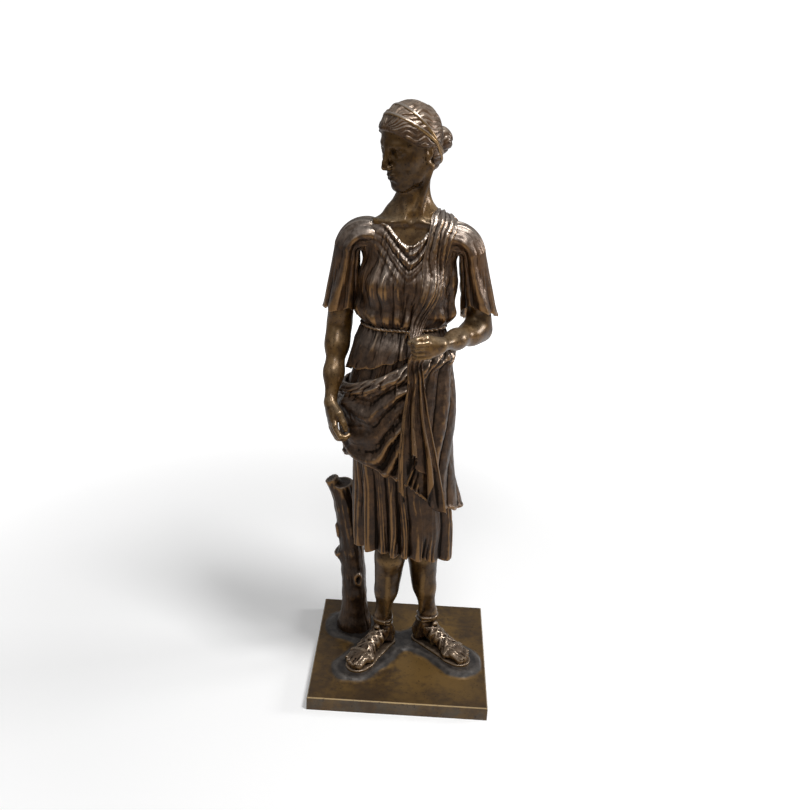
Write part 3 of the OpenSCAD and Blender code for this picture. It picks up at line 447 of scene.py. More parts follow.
def smoother(points, quads):
    # a step that draws each point's values towards its neighbours' mean, and the mean edge length
    src = np.concatenate([quads[:, k] for k in range(4)] + [quads[:, (k + 1) % 4] for k in range(4)])
    dst = np.concatenate([quads[:, (k + 1) % 4] for k in range(4)] + [quads[:, k] for k in range(4)])
    count = np.maximum(np.bincount(dst, minlength=len(points)), 1)

    def step(values, times, pull=1.0):
        for _ in range(times):
            mean = np.stack([np.bincount(dst, v[src], len(points)) / count for v in values.T], -1)
            values = mix(values, mean, pull)
        return values
    edge = np.linalg.norm(points[src] - points[dst], axis=1).mean()
    return step, edge


# how the rubbed places and the dark hollows, which take dark patina and painted shade, are found: radius of the bumps
# looked at, and how far they must stand out
relief = {"small": 0.9, "large": 3.4, "smallDepth": 0.11, "largeDepth": 0.55}


def addRelief(mesh, points, quads, strength):
    step, edge = smoother(points, quads)
    normal = vertexNormals(points, quads)
    near = step(points, max(2, int(1.6 * (relief["small"] / edge) ** 2)))
    broad = step(near, max(4, int(1.6 * (relief["large"] / edge) ** 2)))
    fine = ((points - near) * normal).sum(1) / relief["smallDepth"]
    wide = ((near - broad) * normal).sum(1) / relief["largeDepth"]
    out = np.clip(strength * (0.5 * fine + 0.7 * wide), -1.5, 1.5)
    out = step(out[:, None], 1)[:, 0]
    addMark(mesh, "worn", ease(0.15, 1.2, out))
    addMark(mesh, "hollow", ease(0.1, 1.1, -out))


def addMark(mesh, name, values):
    mesh.attributes.new(name, "FLOAT", "POINT").data.foreach_set("value", values.astype(np.float32).ravel())


def makePiece(name, points, quads, material, replaced=(), reliefStrength=1.25, **marks):
    # replaced are the nodes that the piece stands for, marks the numbers that its metal reads at each point
    a, b, c, d = (points[quads[:, k]] for k in range(4))
    if np.einsum("ij,ij->i", a, np.cross(b, c)).sum() + np.einsum("ij,ij->i", a, np.cross(c, d)).sum() < 0:
        quads = quads[:, ::-1]
    mesh = bpy.data.meshes.new(name)
    corner = np.array(quads, np.int32)
    triangle = corner[:, 2] == corner[:, 3]
    loops = np.concatenate([corner[~triangle].ravel(), corner[triangle][:, :3].ravel()])
    sizes = np.repeat([4, 3], [(~triangle).sum(), triangle.sum()])
    mesh.vertices.add(len(points))
    mesh.vertices.foreach_set("co", (points * mm).astype(np.float32).ravel())
    mesh.loops.add(len(loops))
    mesh.loops.foreach_set("vertex_index", loops.astype(np.int32))
    mesh.polygons.add(len(sizes))
    mesh.polygons.foreach_set("loop_start", np.concatenate([[0], np.cumsum(sizes)[:-1]]).astype(np.int32))
    mesh.update(calc_edges=True)
    mesh.validate()
    mesh.polygons.foreach_set("use_smooth", np.ones(len(mesh.polygons), bool))
    addRelief(mesh, points, quads, reliefStrength)
    for mark, values in marks.items():
        addMark(mesh, mark, values)
    mesh.materials.append(material)
    piece = bpy.data.objects.new(name, mesh)
    bpy.context.scene.collection.objects.link(piece)
    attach(piece, "root")
    if replaced:
        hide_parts(*replaced)
    print(name, len(points), "points")


def band(rows):
    # a closed skin through closed rings, the last of which joins the first
    grid = np.stack(rows)
    return grid.reshape(-1, 3), gridFaces(*grid.shape[:2], True, True)


def wall(radius, a, low, high, steps):
    # rings of a cloth from its low edge to its high one, at these parts of the way
    return [around(a, radius(a, z), z) for z in (mix(low, high, v) for v in steps)]


def lip(radius, a, edge, steps):
    # rings that round a cloth's edge: how far in, and how far above it
    return [around(a, radius(a, edge) - inset, edge + rise) for inset, rise in steps]


def sheetSkin(front, back):
    # a thin sheet with its four edges closed
    rows, cols = front.shape[:2]
    ring = np.concatenate([front, back[:, ::-1]], 1)
    faces = gridFaces(rows, 2 * cols, False, True)
    j = np.arange(cols - 1)
    ends = [np.stack([o + j, o + 2 * cols - 1 - j, o + 2 * cols - 2 - j, o + j + 1], -1)[:, ::turn]
            for o, turn in ((0, -1), ((rows - 1) * 2 * cols, 1))]
    return ring.reshape(-1, 3), np.concatenate([faces, *ends])


# dress below the belt
skirtLook = {"folds": 17, "depth": 5.6, "fine": 4, "fineDepth": 1.25, "crinkle": 0.32, "lean": 3.2, "thickness": 1.5,
             "top": beltZ - 8, "columns": 400}


def pleatTurn(a, z):
    return skirtLook["folds"] * (a + 5 * sind(2 * a + 70) + 3 * sind(3 * a - 30)
                                 + 5 * sind(a + 1.1 * (z - hemZ)) * ease(hemZ, beltZ, z)) / 360


def skirtHem(a):
    pleats = fold(pleatTurn(a, hemZ))
    return hemZ + 5 * cosd(a + 40) - 3 * bump(wrap(a - 70), 30) - 1.4 * pleats + 0.5 * rough(a / 9, 0, 3)


def skirtPoint(a, z, inset=0.0):
    down = 1 - ease(hemZ, hipZ - 20, z)
    u = pleatTurn(a, z)
    f = fold(u)
    fine = u * skirtLook["fine"] + 0.45 * rough(a / 16, z / 26, 5) + 0.3 * rough(a / 7, z / 60, 6)
    thin = rough(a / 1.5 + 2 * rough(a / 20, z / 15, 8), z / 17, 7)
    leg = 1 - 0.75 * thigh(a, z) / 5.5
    main = mix(1.4, skirtLook["depth"], down) * (f ** 1.5) * foldSize(u)
    small = mix(0.5, skirtLook["fineDepth"], down) * (fold(fine) ** 0.8 - 0.5) * (0.55 + 0.45 * f)
    r = bodyR(a, z) - 1.5 + (main + small * (0.7 + 0.5 * rough(a / 11, z / 40, 9))) * leg
    r = r + skirtLook["crinkle"] * thin * (0.4 + 0.6 * leg) - inset
    leaning = skirtLook["lean"] * down * (f - 0.5) * sind(80 * np.floor(u) + 30)
    return around(a + leaning, r, z)


def makeSkirt(material):
    a = turns(skirtLook["columns"])
    hem, cloth, top = skirtHem(a), skirtLook["thickness"], skirtLook["top"]
    rows = [skirtPoint(a, mix(hem, legTop, v), cloth + 1.2 * v) for v in (1.0, 0.6, 0.25, 0.06)]
    rows += [skirtPoint(a, hem - 0.35, cloth * part) for part in (0.8, 0.25)]
    outer = np.concatenate([np.linspace(0, 0.53, 150), np.linspace(0.56, 0.76, 12), np.linspace(0.775, 1, 50)])
    rows += [skirtPoint(a, mix(hem, top, v)) for v in outer]
    waist = bodyStations[5][1]
    rows.append(around(a, ovalR(a, waist[2] - 5, waist[3] - 5), top))
    rows.append(around(a, ovalR(a, 22, 17), legTop + 8))
    makePiece("dressSkirt", *band(rows), material, ("skirt",))


# mantle round the hips; its front folds run from sideTurn to the hand at handTurn
mantleLook = {"thickness": 2.6, "gap": 0.8, "columns": 470, "rows": 170, "hemThickness": 1.5}
sideTurn, handTurn = -100, 34


def mantleTop(a):
    return mix(hipZ, beltZ, 0.48) + 16.2 * cosd(a - 75)


def mantleHem(a):
    return heights["plate"] + 146 + 22 * cosd(a + 62) + 4 * bump(wrap(a - 10), 20)


def liningR(a, z):
    return bodyR(a, z) + mantleLook["gap"] + 4.1 * (1 - ease(hemZ, hipZ - 20, z))


def swag(a, z):
    # folds that fan out between the two ends
    t = np.clip((wrap(a) - sideTurn) / (handTurn - sideTurn), 0, 1)
    return (mix(mantleTop(sideTurn), mantleTop(handTurn), t) - z) / (7.5 + 36 * t * (1 - t))


def mantleR(a, z):
    top, hem = mantleTop(a), mantleHem(a)
    front = ease(-112, -85, wrap(a)) * (1 - ease(handTurn - 20, handTurn - 6, wrap(a)))
    bend = 0.32 * rough(a / 30, z / 28, 11) + 0.06 * rough(a / 11, z / 13, 12)
    u = swag(a, z) + bend
    v = (a + 9 * sind(2 * a) + 0.35 * (hipZ - z)) / 19 + 0.35 * rough(a / 30, z / 40, 13)
    size = foldSize(u) * (0.7 + 0.3 * ease(-0.5, 0.5, rough(a / 40, z / 24, 19)))
    swept = 5.3 * fold(u) ** 2.1 * size + 0.8 * fold(2 * u + 0.3 + 0.5 * rough(a / 14, z / 30, 14)) * (1 - fold(u))
    hung = 4.0 * fold(v) ** 1.3 * foldSize(v) + 0.9 * fold(3 * v + 0.6 * rough(a / 20, z / 30, 15)) * (1 - fold(v))
    body = mix(hung, swept, front) * ease(top, top - 14, z)
    roll = (4.2 - 2.6 * bump(wrap(a + 78), 26)) * bump(z - (top - 5.5), 6)
    twist = fold(a / 17 + (top - z) / 7 + 0.5 * rough(a / 12, z / 6, 16))
    roll = roll * (0.72 + 0.45 * twist) + 0.5 * bump(z - (top - 5.5), 6) * fold((top - z) / 3.1 + a / 60)
    held = mantleTop(-60)  # here the right hand draws a fold out
    pulled = 4 * bump(wrap(a + 58), 8) * ease(held - 18, held - 30, z) * ease(hem - 10, hem + 40, z)
    edge = 0.8 * bump(z - hem - 0.8, 1.3)
    fine = 0.18 * rough(a / 2.2, z / 6, 17) + 0.14 * rough(a / 5, z / 2.5, 18)
    return liningR(a, z) + mantleLook["thickness"] - 0.4 + body + roll + pulled + edge + fine


def makeMantle(material):
    a = turns(mantleLook["columns"])
    hem = mantleHem(a)
    hem = hem - 1.2 * fold(swag(a, hem)) + 0.7 * rough(a / 12, 0, 21)
    top = mantleTop(a) + 0.5 * rough(a / 10, 0, 22)
    rows = wall(liningR, a, hem + 14, top, (1, 0.75, 0.5, 0.25))
    for v in (0.6, 0.3, 0.08):
        z = hem + 14 * v
        r = mix(mantleR(a, z) - mantleLook["hemThickness"], liningR(a, z), ease(0, 1, v) * 0.9)
        rows.append(around(a, r, z))
    rows += lip(mantleR, a, hem, ((1.3, -0.25), (0.7, -0.45), (0.2, -0.3)))
    rows += wall(mantleR, a, hem, top, np.linspace(0, 1, mantleLook["rows"]))
    rows += lip(mantleR, a, top, ((0.8, 0.5), (1.8, 0.4)))
    makePiece("mantleWrap", *band(rows), material, ("mantle", "mantle_rivets"), 1.0)


# blouse above the belt
bodiceLook = {"folds": 15, "columns": 400, "rows": 160}


def neckline(a):
    return neckZ - 2 - 17 * bump(wrap(a), 46) - 8 * bump(wrap(a - 180), 50)


def bodiceHem(a):
    return mantleTop(a) + 2.5 + 5 * (1 - cosd(a - 75))


def bodiceR(a, z):
    deep = neckline(a) - z
    warp = a + 9 * sind(2 * a) + 4 * sind(3 * a + 40) + 6 * rough(z / 26, a / 70, 30) * ease(beltZ, bustZ + 10, z)
    u = bodiceLook["folds"] * warp / 360 + 0.35 * rough(a / 22, z / 24, 31)
    big, size = fold(u), foldSize(u) * (0.35 + 0.65 * ease(-0.5, 0.6, rough(a / 26, z / 34, 40)))
    fine = 2.7 * u + 0.9 * rough(a / 12, z / 15, 32)
    front = bump(wrap(a), 54) + bump(wrap(a - 180), 55)
    cowl = np.clip(front * ease(30, 9, deep), 0, 1)
    rings = deep / (4.2 + 3.2 * bump(wrap(a), 40)) + 0.4 * rough(a / 34, z / 22, 33) + 0.1 * rough(a / 8, z / 9, 34)
    tall = (3.1 * big ** 1.7 * size + 0.5 * fold(fine) * (1 - 0.7 * big)) * (1 - 0.45 * ease(bustZ, neckZ, z))
    looped = 1.9 * fold(rings) ** 1.2 * foldSize(rings) + 0.45 * fold(2.3 * rings + 0.4)
    pull = 1.5 * fold((wrap(a) * 0.7 - np.abs(z - bustZ) * 0.5) / 15 + 0.4 * rough(a / 15, z / 18, 41))
    pull = pull * bump(np.abs(wrap(a)) - 62, 26) * bump(z - (bustZ + 2), 17)
    blouse = 3.8 * bump(z - (beltZ + 8.5 + 2.2 * rough(a / 14, 0, 35)), 6.5) - 1.4 * bump(z - beltZ, 3.2)
    skirtPart = 2.8 * ease(beltZ - 2, beltZ - 14, z)
    edge = 0.55 * bump(deep - 0.9, 1.1)
    thin = rough(a / 1.9 + 1.5 * rough(a / 14, z / 12, 36), z / 9, 37)
    thin = (0.2 + 0.16 * ease(bustZ - 20, bustZ + 10, z)) * thin
    thin = thin + 0.3 * rough(a / 4 + 2 * rough(a / 20, z / 16, 45), z / 15, 46) * ease(bustZ - 20, bustZ, z)
    pinch = 0.9 * (fold(1.7 * u + 0.3) - 0.5) * bump(z - beltZ, 10)
    return (bodyR(a, z) - 0.2 + mix(tall, looped, cowl) + pull + blouse * (0.8 + 0.4 * big) + skirtPart
            + edge + thin + pinch)


def makeBodice(material):
    a = turns(bodiceLook["columns"])
    hem = bodiceHem(a) - 0.9 * fold(bodiceLook["folds"] * a / 360) + 0.5 * rough(a / 10, 0, 38)
    top = neckline(a) + 0.35 * rough(a / 9, 0, 39)
    rows = []
    for drop, inset in ((9, 2.6), (4, 1.6), (0.8, 1.15)):
        z = top - drop
        rows.append(around(a, bodyR(a, z) + 0.9 - inset, z))
    rows.append(around(a, bodyR(a, beltZ + 6) - 3, beltZ + 6))
    for v, inset in ((0.5, 2.2), (0.12, 1.5)):
        z = mix(hem, beltZ, v)
        rows.append(around(a, bodiceR(a, z) - inset, z))
    rows += lip(bodiceR, a, hem, ((1.1, -0.3), (0.55, -0.45), (0.1, -0.25)))
    rows += wall(bodiceR, a, hem, top, np.linspace(0, 1, bodiceLook["rows"]))
    rows += lip(bodiceR, a, top, ((0.45, 0.4),))
    makePiece("dressBlouse", *band(rows), material, ("bodice",))


# the mantle's end over the left shoulder; it comes out of the left fist, fistOut from the body at fistTurn
drapeLook = {"thickness": 1.9, "rows": 330, "cols": 84}
fistOut, fistTurn, fistZ = 40.247, 16.43, 267.669


def drapePoint(t, u):
    # t runs along the strip and u across it; each station is turn, height, distance off the body and half width
    line = [[0, [fistTurn, fistZ + 3, fistOut - bodyR(fistTurn, beltZ), 2.4]],
            [1, [29, mix(fistZ + 12, bustZ + 12, 0.41), 8, 6]], [2, [40, bustZ + 12, 4.6, 8]],
            [3, [58, shoulderZ + 6.5, 5, 7]], [4, [88, shoulderZ + 13, 5, 6.6]],
            [5, [120, shoulderZ + 7.5, 4.8, 7.6]], [6, [148, bustZ + 16, 4.8, 11]],
            [7, [174, bustZ - 6, 5.6, 14]], [8, [204, beltZ + 2, 8, 16]],
            [9, [229, mantleTop(229) - 2, 6.5, 15]]]
    c = flow(line, t)
    a, z = c[..., 0], c[..., 1]

    def skin(a, z):
        return around(a, bodyR(a, z), z)
    pa, pz = skin(a + 1, z) - skin(a - 1, z), skin(a, z + 0.5) - skin(a, z - 0.5)
    out = unit(np.cross(pa, pz))
    start, end = flow(line, np.maximum(t - 0.1, 0)), flow(line, np.minimum(t + 0.1, 9))
    ahead = skin(end[..., 0], end[..., 1]) - skin(start[..., 0], start[..., 1])
    s = unit(np.cross(ahead, out)) * (u * c[..., 3])[..., None]
    p = skin(a + 2 * (s * pa).sum(-1) / (pa * pa).sum(-1), z + (s * pz).sum(-1) / (pz * pz).sum(-1))
    return p, out, c


def makeDrape(material):
    t, u = gridOf(np.linspace(0, 9, drapeLook["rows"]), np.linspace(-1, 1, drapeLook["cols"]))
    p, out, c = drapePoint(t, u)
    run = 2.3 * u + 0.4 * rough(t * 1.3, u * 2, 41) + 0.14 * sind(160 * t)
    wide = np.clip(c[..., 3] / 8, 0.7, 1.6)
    ridge, small = fold(run), fold(2.6 * run + 0.5 * rough(t * 2, u * 3, 42))
    height = 2.0 * wide * ridge ** 1.3 * foldSize(run + 7) + 0.45 * small * (1 - 0.6 * ridge)
    height = height + 0.18 * rough(t * 16, u * 9, 43) - 0.9 * np.abs(u) ** 6
    lift = c[..., 2] - 0.8 + height
    thick = drapeLook["thickness"] * (1 - 0.35 * np.abs(u) ** 8)
    skin = sheetSkin(p + out * lift[..., None], p + out * (lift - thick)[..., None])
    makePiece("shoulderDrape", *skin, material, ("shoulder_drape",))


# the mantle's end below the left hand; start is the part of its length that lies inside the fist
fallLook = {"length": 112, "start": -0.07, "thickness": 1.5, "rows": 190, "cols": 150, "turn": 21}
fallTop = fistZ - 7


def fallOut(a, z):
    top = mantleTop(a)
    near = liningR(a, z) + mantleLook["thickness"] + 3.3 + 3.4 * bump(z - (top - 5.5), 9)
    return mix(near, fistOut - 2.5, ease(top - 4, fallTop, z))


def fallMiddle(s, v):
    drop = fallLook["length"] * (0.6 + 0.4 * np.abs(2 * s - 0.9)) - 3.5 * ease(0.6, 1, v) * sind(1080 * s + 40)
    z = fallTop - drop * v
    w = mix(8, 20, ease(0, 0.9, v)) * mix(0.35, 1, ease(fallLook["start"], 0.02, v))
    zig = sind(1080 * s + 25 * rough(s * 5, v * 2, 51))
    a = mix(fistTurn, fallLook["turn"], ease(0, 0.3, v)) + w * (2 * s - 1) + mix(0.6, 4.6, v) * cosd(1080 * s)
    r = fallOut(a, z) + fallLook["thickness"] / 2 + mix(0.5, 2.9, v) * (1 + zig)
    r = r + mix(0.22, 0.42, v) * sind(3240 * s + 150 * rough(s * 4, v * 2, 54) + 60) * (1.1 - 0.6 * np.abs(zig))
    r = r + 0.4 * v * rough(s * 30, v * 3, 52) + 0.18 * rough(s * 80, v * 9, 53)
    return around(a, r, z)


def makeFall(material):
    v, s = gridOf(np.linspace(fallLook["start"], 1, fallLook["rows"]), np.linspace(0, 1, fallLook["cols"]))
    middle = fallMiddle(s, v)
    across = fallMiddle(s + 0.004, v) - fallMiddle(s - 0.004, v)
    down = fallMiddle(s, v + 0.004) - fallMiddle(s, v - 0.004)
    half = unit(np.cross(down, across)) * (fallLook["thickness"] / 2 * mix(0.6, 1, v))[..., None]
    skin = sheetSkin(middle + half, middle - half)
    makePiece("mantleFall", *skin, material, ("mantle_fall",), 0.85)


# rounded forms are made as distances to their surface, below 0 inside, and then skinned
def capsule(p, a, b, ra, rb):
    a, b = np.asarray(a, np.float32), np.asarray(b, np.float32)
    d = b - a
    t = np.clip((p - a) @ d / (d @ d), 0, 1)
    return np.linalg.norm(p - a - t[:, None] * d, axis=1) - mix(ra, rb, t)


def blob(p, centre, radii, axes=None):
    q = p - np.asarray(centre, np.float32)
    if axes is not None:
        q = q @ np.asarray(axes, np.float32).T
    q = q / np.asarray(radii, np.float32)
    size = np.maximum(np.linalg.norm(q, axis=1), 1e-4)
    return size * (size - 1) / np.maximum(np.linalg.norm(q / np.asarray(radii, np.float32), axis=1), 1e-4)


def join(a, b, soft):
    # both forms, with a fillet about as wide as soft
    h = np.clip(0.5 + 0.5 * (b - a) / soft, 0, 1)
    return mix(b, a, h) - soft * h * (1 - h)


def carve(a, b, soft):
    return -join(-a, b, soft)


def common(a, b, soft):
    return -join(-a, -b, soft)


def chain(p, points, radii, soft=0.8):
    d = capsule(p, points[0], points[1], radii[0], radii[1])
    for k in range(1, len(points) - 1):
        d = join(d, capsule(p, points[k], points[k + 1], radii[k], radii[k + 1]), soft)
    return d


def skinOf(field, low, high, cell):
    # a coarse look first, then the fine cells only in the blocks near the surface
    side, reach = 6, 3.0
    low = np.asarray(low, float)
    blocks = np.ceil((np.asarray(high, float) - low) / (side * cell)).astype(int)
    inner = np.stack(np.meshgrid(*[np.arange(n) for n in blocks], indexing="ij"), -1).reshape(-1, 3)
    middle = field((low + (inner + 0.5) * side * cell).astype(np.float32))
    near = np.abs(middle) < side * cell * 1.6
    full = np.kron(np.sign(middle).reshape(blocks) * reach, np.ones((side,) * 3))
    within = np.stack(np.meshgrid(*[np.arange(side)] * 3, indexing="ij"), -1).reshape(-1, 3)
    spots = (inner[near][:, None] * side + within[None]).reshape(-1, 3)
    values = np.concatenate([field((low + part * cell).astype(np.float32))
                             for part in np.array_split(spots, max(1, len(spots) // 150000))])
    full[tuple(spots.T)] = np.clip(values, -reach, reach)
    box = openvdb.FloatGrid(reach)
    box.copyFromArray(full.astype(np.float32))
    points, tris, quads = box.convertToPolygons(isovalue=0.0, adaptivity=0.0)
    points = points.astype(float) * cell + low
    quads = quads.astype(np.int64)
    if len(tris):
        quads = np.concatenate([quads, np.concatenate([tris, tris[:, 2:]], 1)])
    step, _ = smoother(points, quads)
    return step(points, 2, 0.5), quads


# head, neck and chest; the head has its own axes from the chin: x to the side, y ahead, z up
headLook = {"turn": -52, "nod": 13, "at": (-7.5, 1.0, 366.5), "size": 0.965, "cell": 0.432, "locks": 32,
            "waves": 9.5, "lockDepth": 1.35, "strandDepth": 0.3, "bun": (0, -24.4, 24.5)}


def headAngles():
    turn, nod = math.radians(headLook["turn"]), math.radians(headLook["nod"])
    return math.sin(turn), math.cos(turn), math.sin(nod), math.cos(nod)


def toHead(p):
    sinTurn, cosTurn, sinNod, cosNod = headAngles()
    x, y, z = ((p[:, k] - headLook["at"][k]) / headLook["size"] for k in range(3))
    ahead = x * sinTurn - y * cosTurn
    return np.stack([x * cosTurn + y * sinTurn, ahead * cosNod - z * sinNod, ahead * sinNod + z * cosNod], 1)


def fromHead(q):
    sinTurn, cosTurn, sinNod, cosNod = headAngles()
    ahead, z = q[:, 1] * cosNod + q[:, 2] * sinNod, q[:, 2] * cosNod - q[:, 1] * sinNod
    turned = np.stack([q[:, 0] * cosTurn + ahead * sinTurn, q[:, 0] * sinTurn - ahead * cosTurn, z], 1)
    return turned * headLook["size"] + np.array(headLook["at"])


def faceField(q):
    # the left and right halves are the same, so x is never below 0
    q = q.copy()
    q[:, 0] = np.abs(q[:, 0])
    d = blob(q, (0, -1, 33), (17.2, 19.8, 20.6))
    for centre, radii, soft in (((0, 3.4, 23), (14.6, 15.0, 19), 4), ((0, 5.0, 12.0), (10.6, 12.0, 11.0), 5),
                                ((0, 13.0, 3.6), (5.6, 4.6, 4.4), 4.5)):
        d = join(d, blob(q, centre, radii), soft)
    d = join(d, chain(q, [(10.6, -3, 15), (8.0, 4.5, 7.6), (3.6, 12, 3.0)], [3.6, 3.5, 3.0], 2), 4)
    d = join(d, blob(q, (9.0, 10.4, 20.5), (5.0, 5.2, 5.4)), 4.5)
    # eye hollows, brow and nose
    d = carve(d, blob(q, (7.6, 20.6, 27.0), (5.2, 6.0, 4.2)), 2.2)
    d = carve(d, blob(q, (3.6, 20.2, 27.2), (2.0, 4.0, 2.8)), 1.6)
    brow = chain(q, [(1.6, 17.4, 31.4), (5.4, 16.9, 32.3), (9.4, 14.6, 32.0), (12.6, 10.6, 30.2)],
                 [1.3, 1.25, 1.15, 0.9], 0.8)
    d = join(d, brow, 3.0)
    nose = chain(q, [(0, 17.2, 33.0), (0, 18.9, 27.0), (0, 21.4, 21.6), (0, 22.9, 18.6)], [2.1, 1.85, 2.0, 2.0], 1.2)
    nose = join(nose, blob(q, (2.3, 19.8, 17.9), (1.45, 2.4, 1.6)), 1.5)
    nose = join(nose, capsule(q, (0, 21.8, 17.0), (0, 19.2, 15.6), 0.8, 0.7), 0.8)
    nose = carve(nose, blob(q, (1.25, 20.8, 15.9), (0.75, 1.3, 0.8)), 0.3)
    d = join(d, nose, 1.7)
    # eyeball and its two lids
    ball = np.linalg.norm(q - np.array([7.3, 11.9, 27.2], np.float32), axis=1)
    ex, ez = (q[:, 0] - 7.5) / 4.3, q[:, 2] - 27.1 - 0.08 * (q[:, 0] - 7.5)
    bow = np.maximum(1 - ex ** 2, -1)
    upper = common(common(ball - 5.75, 2.5 * bow - ez, 0.15), ez - 4.2, 0.4)
    lower = common(common(ball - 5.4, ez + 1.75 * bow, 0.15), -ez - 3.8, 0.5)
    d = join(join(join(d, ball - 4.75, 0.25), upper, 0.7), lower, 1.0)
    # mouth
    upLip = chain(q, [(0.0, 19.2, 12.3), (1.6, 19.2, 12.7), (3.8, 17.7, 12.1), (6.2, 15.3, 11.0)],
                  [1.15, 1.2, 1.0, 0.5], 0.5)
    lowLip = chain(q, [(0.0, 18.7, 9.5), (2.5, 18.0, 9.6), (5.6, 15.4, 10.7)], [1.45, 1.3, 0.5], 0.5)
    d = join(join(join(d, blob(q, (0, 13.2, 11.0), (7.6, 5.9, 5.6)), 3), upLip, 0.8), lowLip, 0.8)
    line = chain(q, [(0, 20.3, 11.15), (2.2, 19.4, 11.3), (4.6, 17.3, 11.1), (6.6, 15.0, 11.0)],
                 [0.34, 0.34, 0.3, 0.3], 0.2)
    d = carve(d, line, 0.45)
    d = carve(d, capsule(q, (0, 20.9, 14.9), (0, 20.3, 13.3), 0.4, 0.5), 0.9)
    d = carve(d, blob(q, (0, 19.6, 6.7), (4.4, 2.4, 1.4)), 2.0)
    ear = carve(blob(q, (16.4, -2.4, 24.5), (1.9, 3.4, 5.2)), blob(q, (18.6, -1.8, 25), (1.5, 1.9, 3.3)), 0.6)
    ear = join(ear, blob(q, (16.2, -1.0, 19.9), (1.4, 1.7, 1.8)), 1.0)
    return join(d, ear, 1.0)


def hairLine(q):
    # above 0 where hair grows
    edge = [-30, -9, -4.5, 3, 8, 12, 16, 18.5, 24], [5, 8, 27, 28.5, 32, 36, 40, 42, 43]
    return q[:, 2] - np.interp(q[:, 1], *edge)


def hairField(q):
    mass = join(blob(q, (0, -1.2, 33.2), (19.3, 22.0, 22.2)), blob(q, (0, -9, 20), (14.5, 12, 14)), 4)
    grown = common(mass, -hairLine(q) * 0.75, 2.0)
    return join(grown, blob(q, headLook["bun"], (8.8, 7.8, 9.0)), 1.2)


def hairDepth(q):
    # how the locks stand out: they run from the brow to the bun, and curl in it
    along, up = unit(vec(0, 0.949, 0.316)), vec(0, -0.316, 0.949)
    v = q - vec(0, -1, 34)
    turn = np.degrees(np.arctan2(v[:, 0], v @ up))
    reach = np.degrees(np.arccos(np.clip(unit(v) @ along, -1, 1)))
    crimp = sind(headLook["waves"] * reach + 30 * rough(turn / 30, reach / 40, 61))
    lock = (np.abs(turn) + 3.6 * crimp + 3 * rough(turn / 18, reach / 22, 62)) / 360 * headLook["locks"]
    strand = 4 * lock + 0.5 * rough(turn / 6, reach / 14, 63)
    height = headLook["lockDepth"] * foldSize(lock) * fold(lock) ** 0.7 * (0.9 + 0.1 * crimp)
    parting = 0.8 * bump(turn, 4) * ease(75, 30, reach)
    height = height + headLook["strandDepth"] * fold(strand) + 0.15 * crimp - parting
    b = q - np.array(headLook["bun"])
    spin, far = np.degrees(np.arctan2(b[:, 0], b[:, 2])), np.hypot(b[:, 0], b[:, 2])
    coil = fold(spin / 360 * 5 + far / 4.2) * 1.1 + 0.3 * fold(spin / 360 * 15 + far / 1.6)
    inBun = ease(-16.5, -20.5, q[:, 1]) * (np.linalg.norm(b / (10, 10, 10), axis=1) < 1.25)
    return mix(height, coil, inBun) - 0.55


def neckField(p):
    d = chain(p, [(neckX, 5.5, 338), (neckX + 0.1, 5, 352), (neckX + 1.1, 3.8, 373)], [12.5, 10.3, 10.0], 3)
    z = np.clip(p[:, 2], 300, 356)
    middle = flow(bodyStations, z)
    x, y = p[:, 0] - middle[:, 0], p[:, 1] - middle[:, 1]
    chest = (np.hypot(x, y) - (bodyR(np.degrees(np.arctan2(x, -y)), z) - 0.75)) * 0.85
    d = join(d, np.maximum(common(chest, p[:, 2] - 351, 6), 322 - p[:, 2]), 5)
    for side in (-1, 1):
        # shoulder, neck muscle and collar bone
        slope = [(neckX + side * 4, 5.5, 357), (neckX + side * 12, 4.5, 347.5), (neckX + side * 22, 3, 338)]
        d = join(d, chain(p, slope, [6.5, 5.5, 3.5], 3), 6)
        behind = fromHead(np.array([[side * 12.5, -6.0, 13.0]]))[0]
        d = join(d, chain(p, [behind, (neckX + side * 2.6, -6.2, 345.5)], [2.0, 1.3], 1), 4.5)
        d = join(d, chain(p, [(neckX + side * 3.4, -7.2, 344.6), (neckX + side * 13, -7.6, 343.4),
                              (neckX + side * 25, -1.5, 343.5)], [1.4, 1.2, 1.1], 1), 4)
    return carve(d, blob(p, (neckX, -10.4, 347.4), (2.0, 2.2, 2.6)), 3.0)


def bustField(p):
    q = toHead(p).astype(np.float32)
    return join(join(faceField(q), neckField(p), 3.2), hairField(q), 0.5)


# each band's tilt, its centre in the head's axes, and how it lies on the hair
hairBands = {"rings": ((47, (0, -4.5, 33.0)), (63, (0, -6.5, 33.0))), "lift": 0.55, "wide": 1.15, "thick": 0.55}


def bandRing(tilt, centre, count=140):
    # a ring that lies on the hair, in a plane tilted backwards
    turn = np.linspace(0, 2 * np.pi, count, endpoint=False)
    ahead = vec(0, cosd(tilt), sind(tilt))
    way = np.sin(turn)[:, None] * vec(1, 0, 0) + np.cos(turn)[:, None] * ahead
    low, high = np.full(count, 8.0), np.full(count, 34.0)
    for halving in range(22):
        middle = (low + high) / 2
        q = (np.array(centre) + way * middle[:, None]).astype(np.float32)
        inside = join(hairField(q), faceField(q), 0.5) < 0
        low, high = np.where(inside, middle, low), np.where(inside, high, middle)
    return np.array(centre) + way * (low + hairBands["lift"])[:, None], way


